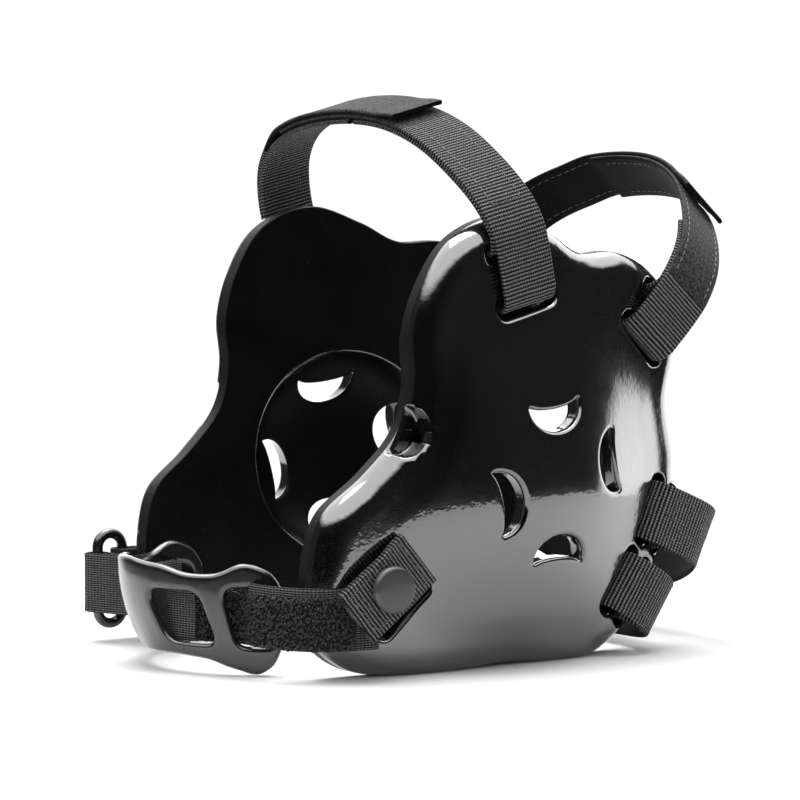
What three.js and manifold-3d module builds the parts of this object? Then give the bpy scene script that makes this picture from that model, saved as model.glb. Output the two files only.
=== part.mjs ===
// A wrestling ear guard: two moulded foam guards held together by webbing over the head,
// behind it and under the chin, with a moulded chin cup, a snap tab and a strap ring.
// Millimetres. +Z is up, -Y is the wearer's front, +X is the wearer's left.
// The origin is on the floor under the middle of the whole headgear.
import * as THREE from "three";
import { mergeVertices } from "three/addons/utils/BufferGeometryUtils.js";
import Module from "manifold-3d";

const wasm = await Module();
wasm.setup();

// Driving sizes of a guard
const guardLength = 150;
const guardHeight = 146;
const guardGap = 104.8;
const guardBow = 0.0013;
const guardToe = -0.081;
const guardLean = 0.037;
const leanLevel = 0.62;
const edgeThickness = 4.5;
const rimThickness = 12;
const rollWidth = 9;
const domeRise = 13;
const domeLength = 124;
const domeHeight = 136;
const floorFlat = 0.5;
const cutReach = 60;

// Ear cavity and its vents
const ear = { rear: 0.02 * guardLength, up: 0.411 * guardHeight };
const earOpening = 70;
const earDepth = 18;
const earFullness = 2.5;
const ventRing = { rear: ear.rear + 3.6, up: ear.up, diameter: 49 };
const ventAngles = [97, 193, 270, 13];
const ventChord = 21;
const ventDepth = 9.6;
const ventHorn = 2;
const ventCutFrom = 8;
const sideVent = {
  rear: -0.307 * guardLength,
  up: 0.534 * guardHeight,
  length: 17,
  start: edgeThickness + 0.1,
  reach: rimThickness + 1,
  run: 17,
  lead: 8,
};

// Webbing
const webbingWidth = 20;
const webbingThickness = 1.4;
const clearance = 0.4;
const slotLength = 24;
const slotWidth = 7;
const tunnelFloor = 4;
const tunnelWidth = webbingWidth + 2;
const tailClear = 3;
const archFoot = 2.5;
const lapEase = 14;

// Snap and ring
const snapDiameter = 15;
const snapHeight = 3.2;
const tabLength = 29;
const tabLift = 0.5;
const ringRod = 3.6;
const ringHeight = 34;
const ringWidth = 13;

// Chin cup
const cupWidth = 80;
const cupDepth = 42;
const cupHeight = 37;
const cupTaper = 13;
const cupWall = 3.5;
const cupYaw = -11;
const cupSetback = 10;

// Guard outline: rear and up as shares of the guard's length and height, bottom front first
const guardOutline = [
  { rear: -0.520, up: 0.160 },
  { rear: -0.514, up: 0.290 },
  { rear: -0.486, up: 0.365 },
  { rear: -0.393, up: 0.445 },
  { rear: -0.313, up: 0.535 },
  { rear: -0.287, up: 0.635 },
  { rear: -0.292, up: 0.740 },
  { rear: -0.262, up: 0.845 },
  { rear: -0.190, up: 0.950 },
  { rear: -0.060, up: 0.998 },
  { rear: 0.070, up: 0.957 },
  { rear: 0.160, up: 0.912 },
  { rear: 0.270, up: 0.910 },
  { rear: 0.370, up: 0.872 },
  { rear: 0.450, up: 0.795 },
  { rear: 0.466, up: 0.690 },
  { rear: 0.444, up: 0.570 },
  { rear: 0.470, up: 0.440 },
  { rear: 0.466, up: 0.330 },
  { rear: 0.415, up: 0.200 },
  { rear: 0.330, up: 0.075 },
  { rear: 0.215, up: 0.004 },
  { rear: 0.070, up: 0.000 },
  { rear: -0.025, up: 0.014 },
  { rear: -0.130, up: 0.002 },
  { rear: -0.290, up: 0.000 },
  { rear: -0.425, up: 0.022 },
  { rear: -0.497, up: 0.075 },
];
const guardFront = Math.min(...guardOutline.map((row) => row.rear)) * guardLength;
const cupBack = { x: 0, y: guardFront + cupSetback };

// Arch of each strap, seen square on to it. Across is a share of the way from the middle to the
// slots and out a share of the rise. Slots are shares of the guard's length and height. The lean
// turns the arch back from upright, about the line through the slots on both guards.
const strapRoutes = {
  front_strap: {
    slot: { rear: -0.02, up: 0.8082, lean: -14 },
    pairGap: 18,
    rise: 62.5,
    tailRun: 42,
    leftEnd: -0.697,
    rightEnd: 0.377,
    arch: [
      [-1.002, 0.256], [-1.031, 0.448], [-0.973, 0.672], [-0.828, 0.832], [-0.61, 0.928],
      [-0.319, 0.984], [0, 1], [0.29, 0.968], [0.552, 0.872], [0.769, 0.72], [0.929, 0.56],
      [1.009, 0.4], [1.016, 0.24],
    ],
  },
  crown_strap: {
    slot: { rear: 0.3267, up: 0.7123, lean: 43 },
    pairGap: 14,
    rise: 70,
    tailRun: 26,
    leftEnd: -0.489,
    rightEnd: 0.619,
    arch: [
      [-1.011, 0.186], [-1.059, 0.4], [-1.027, 0.614], [-0.88, 0.814], [-0.587, 0.95], [-0.228, 1],
      [0.13, 0.979], [0.44, 0.879], [0.701, 0.714], [0.896, 0.529], [0.994, 0.343], [1.011, 0.186],
    ],
  },
  upper_back_strap: {
    slot: { rear: 0.36, up: 0.3219, lean: 114 },
    pairGap: 9.5,
    rise: 35,
    tailRun: 12,
    leftEnd: -0.378,
    rightEnd: 0.378,
    arch: [
      [-1.013, 0.314], [-0.996, 0.571], [-0.876, 0.8], [-0.653, 0.929], [-0.344, 0.986], [0, 1],
      [0.344, 0.986], [0.653, 0.929], [0.876, 0.8], [0.996, 0.571], [1.013, 0.314],
    ],
  },
  lower_back_strap: {
    slot: { rear: 0.2667, up: 0.1712, lean: 123 },
    pairGap: 9,
    rise: 24,
    tailRun: 7,
    leftEnd: -0.364,
    rightEnd: 0.364,
    arch: [
      [-1.026, 0.458], [-0.96, 0.792], [-0.794, 0.971], [-0.331, 1], [0, 1], [0.331, 1],
      [0.794, 0.971], [0.96, 0.792], [1.026, 0.458],
    ],
  },
};

// Chin strap, seen from above: shares of the way across and ahead, from the cup's near end to the
// near guard's front, and from the cup's far end to the ring
const chinStrapUp = 20;
const chinStrapNear = [
  [1.04, 1], [1.018, 0.709], [0.983, 0.514], [0.897, 0.343], [0.768, 0.213], [0.566, 0.106],
  [0.364, 0.051], [0.211, 0.064],
];
const chinStrapFar = [
  [0.258, -0.147], [0.365, 0.386], [0.502, 0.813], [0.674, 1.107], [0.867, 1.227],
];
const chinAnchor = { rear: guardFront + 20, up: chinStrapUp };
const cupNearEnd = 58;
const cupFarEnd = -65;
const cupTailEnd = 38;
const ringOut = 3.9;
const ringAhead = 4;
const ringStrapOutside = [[0.2, 30], [-0.8, 22], [-2.6, 14]];
const ringStrapInside = [[2.6, 14], [1.8, 22]];
const tabPlace = { rear: guardFront + 21.5, up: 0.202 * guardHeight, turn: 219 };
const chinSlot = { rear: guardFront + 29, up: 0.1575 * guardHeight, turn: 45, length: 24, width: 9 };

// Colours and finishes
const foamFinish = { color: 0x141415, roughness: 0.22, metalness: 0 };
const webbingFinish = { color: 0x1d1d1f, roughness: 0.85, metalness: 0 };
const mouldedFinish = { color: 0x1b1b1c, roughness: 0.35, metalness: 0 };

const degrees = Math.PI / 180;
const smoothstep = (share) => THREE.MathUtils.smoothstep(share, 0, 1);

// Volume inside an indexed closed geometry, negative where its faces point in
function enclosedVolume(geometry) {
  const corners = [new THREE.Vector3(), new THREE.Vector3(), new THREE.Vector3()];
  const index = geometry.index.array;
  let volume = 0;
  for (let start = 0; start < index.length; start += 3) {
    corners.forEach((corner, offset) => {
      corner.fromBufferAttribute(geometry.attributes.position, index[start + offset]);
    });
    volume += corners[0].dot(corners[1].clone().cross(corners[2])) / 6;
  }
  return volume;
}

function turnFaces(geometry) {
  const index = geometry.index.array;
  for (let start = 0; start < index.length; start += 3) {
    [index[start + 1], index[start + 2]] = [index[start + 2], index[start + 1]];
  }
}

// Turn a closed three.js shape into a solid for joining and cutting, and back again
function toSolid(geometry) {
  const bare = geometry.clone();
  bare.deleteAttribute("normal");
  bare.deleteAttribute("uv");
  const merged = mergeVertices(bare, 1e-4);
  if (enclosedVolume(merged) < 0) {
    turnFaces(merged);
  }
  const vertProperties = Float32Array.from(merged.attributes.position.array);
  const triVerts = Uint32Array.from(merged.index.array);
  return new wasm.Manifold(new wasm.Mesh({ numProp: 3, vertProperties, triVerts }));
}

function toGeometry(solid) {
  const mesh = solid.getMesh();
  const geometry = new THREE.BufferGeometry();
  geometry.setAttribute("position", new THREE.BufferAttribute(mesh.vertProperties, 3));
  geometry.setIndex(new THREE.BufferAttribute(mesh.triVerts, 1));
  geometry.computeVertexNormals();
  return geometry;
}

// Move every corner of a geometry by a rule
function reshape(geometry, rule) {
  const position = geometry.attributes.position;
  const corner = new THREE.Vector3();
  for (let index = 0; index < position.count; index += 1) {
    corner.fromBufferAttribute(position, index);
    const moved = rule(corner);
    position.setXYZ(index, moved.x, moved.y, moved.z);
  }
  return geometry;
}

// Guard outline as a radius about the ear at each angle
const outlineCurve = new THREE.CatmullRomCurve3(
  guardOutline.map((row) => new THREE.Vector3(row.rear * guardLength, row.up * guardHeight - floorFlat, 0)),
  true,
);
const outlinePolar = outlineCurve.getSpacedPoints(420).slice(1)
  .map((point) => {
    const across = point.x - ear.rear;
    const rise = point.y - ear.up;
    return { angle: Math.atan2(rise, across), radius: Math.hypot(across, rise) };
  })
  .sort((first, second) => first.angle - second.angle);

function outlineRadius(angle) {
  const turned = Math.atan2(Math.sin(angle), Math.cos(angle));
  const next = outlinePolar.findIndex((sample) => sample.angle >= turned);
  const high = outlinePolar[next < 0 ? 0 : next];
  const low = outlinePolar[(next <= 0 ? outlinePolar.length : next) - 1];
  const span = (high.angle - low.angle + 2 * Math.PI) % (2 * Math.PI);
  const part = (turned - low.angle + 2 * Math.PI) % (2 * Math.PI);
  return low.radius + (high.radius - low.radius) * (part / span);
}

// Share of a radial step that goes straight in from the edge
function edgeSquareness(angle) {
  const step = 3 * degrees;
  const change = (outlineRadius(angle + step) - outlineRadius(angle - step)) / (2 * step);
  return Math.max(1 / Math.hypot(1, change / outlineRadius(angle)), 0.6);
}

// Height of the guard's outer face over its inner face
function heightOver(rear, up, inset) {
  const roll = THREE.MathUtils.clamp(inset / rollWidth, 0, 1);
  const rolled = edgeThickness + (rimThickness - edgeThickness) * Math.sqrt(1 - (1 - roll) ** 2);
  const spread = ((rear - ear.rear) / (domeLength / 2)) ** 2 + ((up - ear.up) / (domeHeight / 2)) ** 2;
  const dome = spread < 1 ? domeRise * (1 - spread) ** 2 : 0;
  return rolled + dome * smoothstep(inset / (2 * rollWidth));
}

function outerHeight(rear, up) {
  const angle = Math.atan2(up - ear.up, rear - ear.rear);
  const radius = Math.hypot(rear - ear.rear, up - ear.up);
  const inset = Math.max((outlineRadius(angle) - radius) * edgeSquareness(angle), 0);
  return heightOver(rear, up, inset);
}

// Inner face of the left guard: a bowed sheet, toed in at the rear and leaning out at the top
function innerFace(rear, up) {
  return guardGap / 2 - guardBow * rear ** 2 + guardToe * rear + guardLean * (up - guardHeight * leanLevel);
}

function onGuard(rear, up, height) {
  return new THREE.Vector3(innerFace(rear, up) + height, rear, up);
}

// Solid body of a guard: a turned profile whose rings are moved out to the outline
function guardBody() {
  const sides = 52;
  const insets = [0, 1.1, 3.6, rollWidth];
  const inner = [0, 0.5, 1].map((share) => new THREE.Vector2(share, 0));
  const roll = insets.map((inset) => new THREE.Vector2(1, 1 + inset));
  const dome = [0.78, 0.6, 0.42, 0.22, 0].map((share) => new THREE.Vector2(share, 20));
  const profile = new THREE.LatheGeometry([...inner, ...roll, ...dome], sides);
  return reshape(profile, (corner) => {
    const share = Math.hypot(corner.x, corner.z);
    const angle = Math.atan2(corner.z, corner.x);
    const edge = outlineRadius(angle);
    const square = edgeSquareness(angle);
    const ringInset = corner.y >= 1 && corner.y < 15 ? corner.y - 1 : 0;
    const radius = share * edge - ringInset / square;
    const rear = ear.rear + radius * Math.cos(angle);
    const up = ear.up + radius * Math.sin(angle);
    if (corner.y < 0.5) {
      return onGuard(rear, up, 0);
    }
    return onGuard(rear, up, heightOver(rear, up, (edge - radius) * square));
  });
}

// Bowl that the ear sits in
function earBowl() {
  const rings = 5;
  const profile = [new THREE.Vector2(0, -4), new THREE.Vector2(earOpening / 2, -4)];
  for (let ring = 0; ring <= rings; ring += 1) {
    const share = Math.cos((ring / rings) * 90 * degrees);
    const depth = earDepth * (1 - share ** earFullness) ** (1 / earFullness);
    profile.push(new THREE.Vector2(ring === rings ? 0 : (share * earOpening) / 2, depth));
  }
  const bowl = new THREE.LatheGeometry(profile, 28);
  return reshape(bowl, (corner) => onGuard(ear.rear + corner.x, ear.up + corner.z, corner.y));
}

// A hole of a flat outline through the guard, from one height to another; the outline's
// first axis turns from the rear by the angle
function guardHole(shape, place, turn, low, high) {
  const outline = { depth: high - low, bevelEnabled: false, curveSegments: 2 };
  const block = new THREE.ExtrudeGeometry(shape, outline);
  const base = innerFace(place.rear, place.up);
  return reshape(block, (corner) => new THREE.Vector3(
    base + low + corner.z,
    place.rear + corner.x * Math.cos(turn) - corner.y * Math.sin(turn),
    place.up + corner.x * Math.sin(turn) + corner.y * Math.cos(turn),
  ));
}

function roundedSlot(length, width) {
  const radius = Math.min(width / 2, 3) * 0.98;
  const shape = new THREE.Shape();
  const half = { x: length / 2, y: width / 2 };
  shape.moveTo(-half.x + radius, -half.y);
  shape.lineTo(half.x - radius, -half.y);
  shape.absarc(half.x - radius, -half.y + radius, radius, -90 * degrees, 0, false);
  shape.absarc(half.x - radius, half.y - radius, radius, 0, 90 * degrees, false);
  shape.absarc(-half.x + radius, half.y - radius, radius, 90 * degrees, 180 * degrees, false);
  shape.absarc(-half.x + radius, -half.y + radius, radius, 180 * degrees, 270 * degrees, false);
  return shape;
}

// Crescent vent: both edges bow towards the middle of the ring
function crescent() {
  const half = ventChord / 2;
  const steps = 6;
  const shallow = [];
  const deep = [];
  for (let step = 0; step < steps; step += 1) {
    const turn = (step / steps) * 180 * degrees;
    const bow = Math.sin(turn);
    shallow.push(new THREE.Vector2(-half * Math.cos(turn), ventHorn * (1 - 1.25 * bow)));
    deep.push(new THREE.Vector2(half * Math.cos(turn), ventHorn - ventDepth * bow ** 0.8));
  }
  return new THREE.Shape([...shallow, ...deep]);
}

function leanDirection(lean) {
  return { rear: Math.sin(lean * degrees), up: Math.cos(lean * degrees) };
}

function strapSlotPlaces(route) {
  const out = leanDirection(route.slot.lean);
  const first = { rear: route.slot.rear * guardLength, up: route.slot.up * guardHeight };
  const second = { rear: first.rear + out.rear * route.pairGap, up: first.up + out.up * route.pairGap };
  const middle = { rear: (first.rear + second.rear) / 2, up: (first.up + second.up) / 2 };
  return { first, second, middle };
}

// Cuts for one strap: two slots and the tunnel that joins them under the bridge
function strapCuts(route) {
  const places = strapSlotPlaces(route);
  const turn = -route.slot.lean * degrees;
  const lift = innerFace(places.first.rear, places.first.up);
  const level = (place) => tunnelFloor + lift - innerFace(place.rear, place.up);
  const slot = roundedSlot(slotLength, slotWidth);
  const tunnel = roundedSlot(tunnelWidth, route.pairGap + 2);
  const tunnelHeight = webbingThickness + 2 * clearance;
  return [
    guardHole(slot, places.first, turn, tunnelFloor, cutReach),
    guardHole(slot, places.second, turn, level(places.second), cutReach),
    guardHole(tunnel, places.middle, turn, level(places.middle), level(places.middle) + tunnelHeight),
  ];
}

// Vent at the guard's front edge, running in to the ear bowl
function sideVentCut() {
  const shape = new THREE.Shape();
  const half = sideVent.length / 2;
  shape.moveTo(-half, sideVent.start);
  shape.lineTo(half, sideVent.start);
  shape.quadraticCurveTo(half, sideVent.start + 5, half - 5, sideVent.reach - 1);
  shape.quadraticCurveTo(0, sideVent.reach + 2, -half + 5, sideVent.reach - 2);
  shape.quadraticCurveTo(-half, sideVent.start + 4, -half, sideVent.start);
  const depth = sideVent.run + sideVent.lead;
  const block = new THREE.ExtrudeGeometry(shape, { depth, bevelEnabled: false, curveSegments: 5 });
  const inward = new THREE.Vector2(ear.rear - sideVent.rear, ear.up - sideVent.up).normalize();
  const base = innerFace(sideVent.rear, sideVent.up);
  return reshape(block, (corner) => new THREE.Vector3(
    base + corner.y,
    sideVent.rear + inward.x * (corner.z - sideVent.lead) + inward.y * corner.x,
    sideVent.up + inward.y * (corner.z - sideVent.lead) - inward.x * corner.x,
  ));
}

function floorCut() {
  const block = new THREE.BoxGeometry(4 * guardLength, 4 * guardLength, 20);
  return block.translate(0, 0, -10);
}

function mirrored(geometry) {
  const flipped = geometry.clone();
  reshape(flipped, (corner) => new THREE.Vector3(-corner.x, corner.y, corner.z));
  turnFaces(flipped);
  flipped.computeVertexNormals();
  return flipped;
}

function guardGeometry() {
  let guard = toSolid(guardBody()).subtract(toSolid(earBowl()));
  for (const angle of ventAngles) {
    const turn = (angle - 90) * degrees;
    const place = {
      rear: ventRing.rear + (ventRing.diameter / 2) * Math.cos(angle * degrees),
      up: ventRing.up + (ventRing.diameter / 2) * Math.sin(angle * degrees),
    };
    guard = guard.subtract(toSolid(guardHole(crescent(), place, turn, ventCutFrom, cutReach)));
  }
  for (const route of Object.values(strapRoutes)) {
    for (const cut of strapCuts(route)) {
      guard = guard.subtract(toSolid(cut));
    }
  }
  const chinPocket = roundedSlot(chinSlot.length, chinSlot.width);
  const chinTurn = chinSlot.turn * degrees;
  guard = guard.subtract(toSolid(guardHole(chinPocket, chinSlot, chinTurn, tunnelFloor, cutReach)));
  guard = guard.subtract(toSolid(sideVentCut()));
  guard = guard.subtract(toSolid(floorCut()));
  return toGeometry(guard);
}

// Points moved sideways off a path, to its left for a positive distance
function beside(path, distance) {
  return path.map((point, index) => {
    const before = path[Math.max(index - 1, 0)];
    const after = path[Math.min(index + 1, path.length - 1)];
    const along = after.clone().sub(before).normalize();
    const far = typeof distance === "number" ? distance : distance(point);
    return new THREE.Vector2(point.x - along.y * far, point.y + along.x * far);
  });
}

function spaced(points, step) {
  const curve = new THREE.SplineCurve(points);
  return curve.getSpacedPoints(Math.max(Math.round(curve.getLength() / step), 2));
}

// A band of webbing: its path is drawn in a plane and the band stands square to it
function webbingBand(path, width, thickness) {
  const outer = beside(path, thickness / 2);
  const inner = beside(path, -thickness / 2).reverse();
  const shape = new THREE.Shape([...outer, ...inner]);
  const band = new THREE.ExtrudeGeometry(shape, { depth: width, bevelEnabled: false });
  return band.translate(0, 0, -width / 2);
}

const layer = webbingThickness + clearance;

// Highest place of the guard's outer face under a band at a slot
function bandSeat(place, lean) {
  const turn = lean * degrees;
  const heights = [-0.5, -0.25, 0, 0.25, 0.5].map((share) => {
    const rear = place.rear + share * webbingWidth * Math.cos(turn);
    const up = place.up - share * webbingWidth * Math.sin(turn);
    return innerFace(rear, up) + outerHeight(rear, up);
  });
  return Math.max(...heights);
}

// Foot of a strap on the left guard, from the tail's tip through the tunnel to the top layer
function strapFoot(route, archSide) {
  const places = strapSlotPlaces(route);
  const base = innerFace(places.first.rear, places.first.up);
  const firstTop = bandSeat(places.first, route.slot.lean);
  const secondTop = bandSeat(places.second, route.slot.lean);
  const deep = base + tunnelFloor + clearance + webbingThickness / 2;
  const tailStart = route.pairGap + tailClear;
  const tail = beside(archSide, layer)
    .filter((point) => point.y > tailStart && point.y < tailStart + route.tailRun)
    .filter((point) => point.x > 0)
    .reverse();
  return [
    ...tail,
    new THREE.Vector2(secondTop - 1, route.pairGap + 0.6),
    new THREE.Vector2(deep + 2.6, route.pairGap + 0.4),
    new THREE.Vector2(deep, route.pairGap - 2.2),
    new THREE.Vector2(deep, 2.2),
    new THREE.Vector2(deep + 2.6, -0.4),
    new THREE.Vector2(firstTop - 1, -0.7),
  ];
}

// One half of a strap: its foot, then the arch up to its free end. The right half's end laps
// over the left half's.
function strapHalf(route, side) {
  const footX = bandSeat(strapSlotPlaces(route).first, route.slot.lean) + clearance + webbingThickness;
  const arch = route.arch.map(([across, out]) => new THREE.Vector2(side * across * footX, out * route.rise));
  const rising = side > 0 ? arch.reverse() : arch;
  const feet = [1, -1].map((end) => new THREE.Vector2(end * footX, archFoot));
  const whole = spaced([feet[0], ...rising, feet[1]], 3);
  const leftEnd = route.leftEnd * footX;
  const freeEnd = side > 0 ? leftEnd : -route.rightEnd * footX;
  const kept = whole.filter((point) => point.x > freeEnd);
  const lift = (point) => -layer * smoothstep((lapEase - leftEnd - point.x) / lapEase);
  const top = side > 0 ? kept : beside(kept, lift);
  const path = spaced([...strapFoot(route, whole), ...top], 5);
  const turned = path.map((point) => new THREE.Vector2(side * point.x, point.y));
  return webbingBand(turned, webbingWidth, webbingThickness);
}

// Chin cup, a half ellipse from above whose foot tapers back under the chin
const cupTurn = cupYaw * degrees;

function cupPoint(around, up, inward) {
  const taper = cupTaper * (1 - Math.min(Math.max(up, 0) / cupHeight, 1)) ** 2.5;
  const across = (cupWidth / 2 - inward) * Math.sin(around);
  const back = -(cupDepth - taper - inward) * Math.cos(around);
  return new THREE.Vector3(
    cupBack.x + across * Math.cos(cupTurn) - back * Math.sin(cupTurn),
    cupBack.y + across * Math.sin(cupTurn) + back * Math.cos(cupTurn),
    up,
  );
}

// Top and bottom edges of the cup at each angle from its middle, as shares of its height
const cupEdges = [
  { around: 0, top: 0.973, bottom: 0.135 },
  { around: 28, top: 0.946, bottom: 0.149 },
  { around: 44, top: 0.878, bottom: 0.135 },
  { around: 56, top: 0.878, bottom: 0.059 },
  { around: 70, top: 0.986, bottom: 0 },
  { around: 81, top: 0.919, bottom: 0.068 },
  { around: 88, top: 0.757, bottom: 0.243 },
];
const cupReach = 88;
const cupEdgeRound = 0.9;

function cupEdge(around, name) {
  const side = Math.min(Math.abs(around), cupReach);
  const next = Math.max(cupEdges.findIndex((row) => row.around >= side), 1);
  const [low, high] = [cupEdges[next - 1], cupEdges[next]];
  const share = (side - low.around) / (high.around - low.around);
  return (low[name] + (high[name] - low[name]) * smoothstep(share)) * cupHeight;
}

// Windows on each side of the middle, by angle and by shares of the cup's height
const cupWindows = [
  { from: 22, to: 50, low: 0.27, high: 0.757, slant: 5 },
  { from: 61, to: 82, low: 0.176, high: 0.865, slant: 3 },
];

function cupGeometry() {
  const shell = reshape(new THREE.BoxGeometry(2, 1, 1, 26, 3, 1), (corner) => {
    const around = corner.x * cupReach;
    const share = corner.y + 0.5;
    const bottom = cupEdge(around, "bottom");
    const up = bottom + (cupEdge(around, "top") - bottom) * share;
    const round = Math.abs(corner.y) > 0.49 ? cupEdgeRound : 0;
    const inward = corner.z > 0 ? round : cupWall - round;
    return cupPoint(around * degrees, up, inward);
  });
  let cup = toSolid(shell);
  for (const window of cupWindows) {
    for (const side of [-1, 1]) {
      const width = window.to - window.from;
      const height = (window.high - window.low) * cupHeight;
      const outline = roundedSlot(width, height);
      const block = new THREE.ExtrudeGeometry(outline, { depth: 12, bevelEnabled: false, curveSegments: 2 });
      const cutter = reshape(block, (corner) => {
        const up = window.low * cupHeight + height / 2 + corner.y;
        const slanted = corner.x - (window.slant * corner.y) / height;
        const around = side * ((window.from + window.to) / 2 + slanted);
        return cupPoint(around * degrees, up, side * (corner.z - 6) + 1.5);
      });
      cup = cup.subtract(toSolid(cutter));
    }
  }
  return toGeometry(cup);
}

// Outside of the near guard at the chin strap, the ring's middle and the turn of webbing round it
const guardSide = innerFace(chinAnchor.rear, chinAnchor.up) + rimThickness;
const ringPlace = { x: -guardSide - ringOut, y: guardFront - ringAhead, up: chinStrapUp + 1 };
const rodTurn = ringRod / 2 + 2 * clearance + webbingThickness / 2;

// Chin strap: in past the cup, round the ring and back to its free end
function chinStrapGeometry() {
  const low = chinStrapUp - webbingWidth / 2;
  const behind = cupWall + clearance + webbingThickness / 2;
  const alongCup = (from, to, inward) => {
    const points = [];
    const steps = 6;
    for (let step = 0; step <= steps; step += 1) {
      const around = (from + ((to - from) * step) / steps) * degrees;
      const point = cupPoint(around, low, inward);
      points.push(new THREE.Vector2(point.x, point.y));
    }
    return points;
  };
  const behindCup = alongCup(cupNearEnd, cupFarEnd, behind + layer);
  const between = (shares, start, end) => shares.map(([across, ahead]) => new THREE.Vector2(
    start.x + (end.x - start.x) * across,
    start.y + (end.y - start.y) * ahead,
  ));
  const near = between(chinStrapNear, behindCup[0], { x: guardSide, y: chinAnchor.rear });
  const far = between(chinStrapFar, behindCup[behindCup.length - 1], ringPlace);
  const rod = { x: ringPlace.x, y: ringPlace.y - (ringWidth - ringRod) / 2 };
  const main = spaced([...near, ...behindCup, ...far], 3);
  const fold = [90, 135, 180, 225, 270].map((angle) => new THREE.Vector2(
    rod.x + rodTurn * Math.cos(angle * degrees),
    rod.y + rodTurn * Math.sin(angle * degrees),
  ));
  const returned = beside([...far].reverse(), -layer - 0.3);
  const tail = alongCup(cupFarEnd + 3, cupTailEnd, behind);
  const path = spaced([...main, ...fold, ...returned.slice(1), ...tail], 3);
  return webbingBand(path, webbingWidth, webbingThickness);
}

function ringGeometry() {
  const radius = (ringWidth - ringRod) / 2;
  const straight = (ringHeight - ringWidth) / 2;
  const torus = new THREE.TorusGeometry(radius, ringRod / 2, 8, 16);
  return reshape(torus, (corner) => new THREE.Vector3(
    corner.z,
    corner.x,
    corner.y + (Math.abs(corner.y) < 0.001 ? 0 : Math.sign(corner.y) * straight),
  ));
}

function ringStrapGeometry() {
  const rod = { x: 0, y: (ringWidth - ringRod) / 2 };
  const fold = [180, 225, 270, 315, 360].map((angle) => [
    rod.x + rodTurn * Math.cos(angle * degrees),
    rod.y + rodTurn * Math.sin(angle * degrees),
  ]);
  const path = [...ringStrapOutside, ...fold, ...ringStrapInside]
    .map(([x, y]) => new THREE.Vector2(ringPlace.x + x, ringPlace.y + y));
  return webbingBand(spaced(path, 2), webbingWidth, webbingThickness);
}

// Snap tab: a doubled length of webbing lying on the left guard, over the chin strap's end
function tabPoint(along, across, height) {
  const turn = tabPlace.turn * degrees;
  const rear = tabPlace.rear + along * Math.cos(turn) - across * Math.sin(turn);
  const up = tabPlace.up + along * Math.sin(turn) + across * Math.cos(turn);
  const overStrap = smoothstep((along + tabLength / 2) / (tabLength * 0.4));
  const rise = clearance + tabLift + (layer + 0.5) * overStrap + height;
  return onGuard(rear, up, Math.max(outerHeight(rear, up), rimThickness) + rise);
}

function snapTabGeometry() {
  const thickness = 2 * webbingThickness;
  const block = new THREE.BoxGeometry(tabLength, webbingWidth, thickness, 8, 4, 1);
  return reshape(block, (corner) => tabPoint(corner.x, corner.y, corner.z + thickness / 2));
}

function snapCapGeometry() {
  const radius = snapDiameter / 2;
  const profile = [
    [0, 0], [radius - 1, 0], [radius, 0.9], [radius - 0.3, 1.9], [radius - 1.6, 2.8],
    [radius - 3.4, snapHeight], [0, snapHeight],
  ].map(([out, height]) => new THREE.Vector2(out, height));
  const cap = new THREE.LatheGeometry(profile, 24);
  const seat = tabPoint(0, 0, 2 * webbingThickness + clearance);
  return cap.rotateZ(-90 * degrees).translate(seat.x + 0.5, seat.y, seat.z);
}

function named(name, geometry, finish) {
  const mesh = new THREE.Mesh(geometry, new THREE.MeshStandardMaterial(finish));
  mesh.name = name;
  return mesh;
}

const guard = guardGeometry();
const headgear = new THREE.Group();
headgear.add(named("ear_guard_left", guard, foamFinish));
headgear.add(named("ear_guard_right", mirrored(guard), foamFinish));

for (const [name, route] of Object.entries(strapRoutes)) {
  for (const [ending, side] of [["left", 1], ["right", -1]]) {
    const strap = named(`${name}_${ending}`, strapHalf(route, side), webbingFinish);
    const { first } = strapSlotPlaces(route);
    strap.position.set(0, first.rear, first.up);
    strap.rotation.x = (90 - route.slot.lean) * degrees;
    headgear.add(strap);
  }
}

const chinStrap = named("chin_strap", chinStrapGeometry(), webbingFinish);
chinStrap.position.z = chinStrapUp;
headgear.add(chinStrap);

const ringStrap = named("ring_strap", ringStrapGeometry(), webbingFinish);
ringStrap.position.z = ringPlace.up;
headgear.add(ringStrap);

const ring = named("strap_ring", ringGeometry(), mouldedFinish);
ring.position.set(ringPlace.x, ringPlace.y, ringPlace.up);
headgear.add(ring);

headgear.add(named("chin_cup", cupGeometry(), mouldedFinish));
headgear.add(named("snap_tab", toGeometry(toSolid(snapTabGeometry())), webbingFinish));
headgear.add(named("snap_cap", snapCapGeometry(), mouldedFinish));

// Stand the headgear on the floor with its middle over the origin
const extent = new THREE.Box3().setFromObject(headgear);
const middle = extent.getCenter(new THREE.Vector3());
headgear.position.set(-middle.x, -middle.y, -extent.min.z);

export default headgear;
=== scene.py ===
"""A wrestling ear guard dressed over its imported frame.

Two moulded foam guards, four webbing straps, a chin strap with a loop pile, a moulded chin cup,
a strap ring and a snap tab. Sizes are in millimetres until a mesh is made.
"""

from __future__ import annotations

import logging
import math
from dataclasses import dataclass, field
from enum import Enum
from typing import Callable, Sequence

import bmesh
import bpy
import numpy as np
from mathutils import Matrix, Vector
from mathutils.geometry import delaunay_2d_cdt

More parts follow.
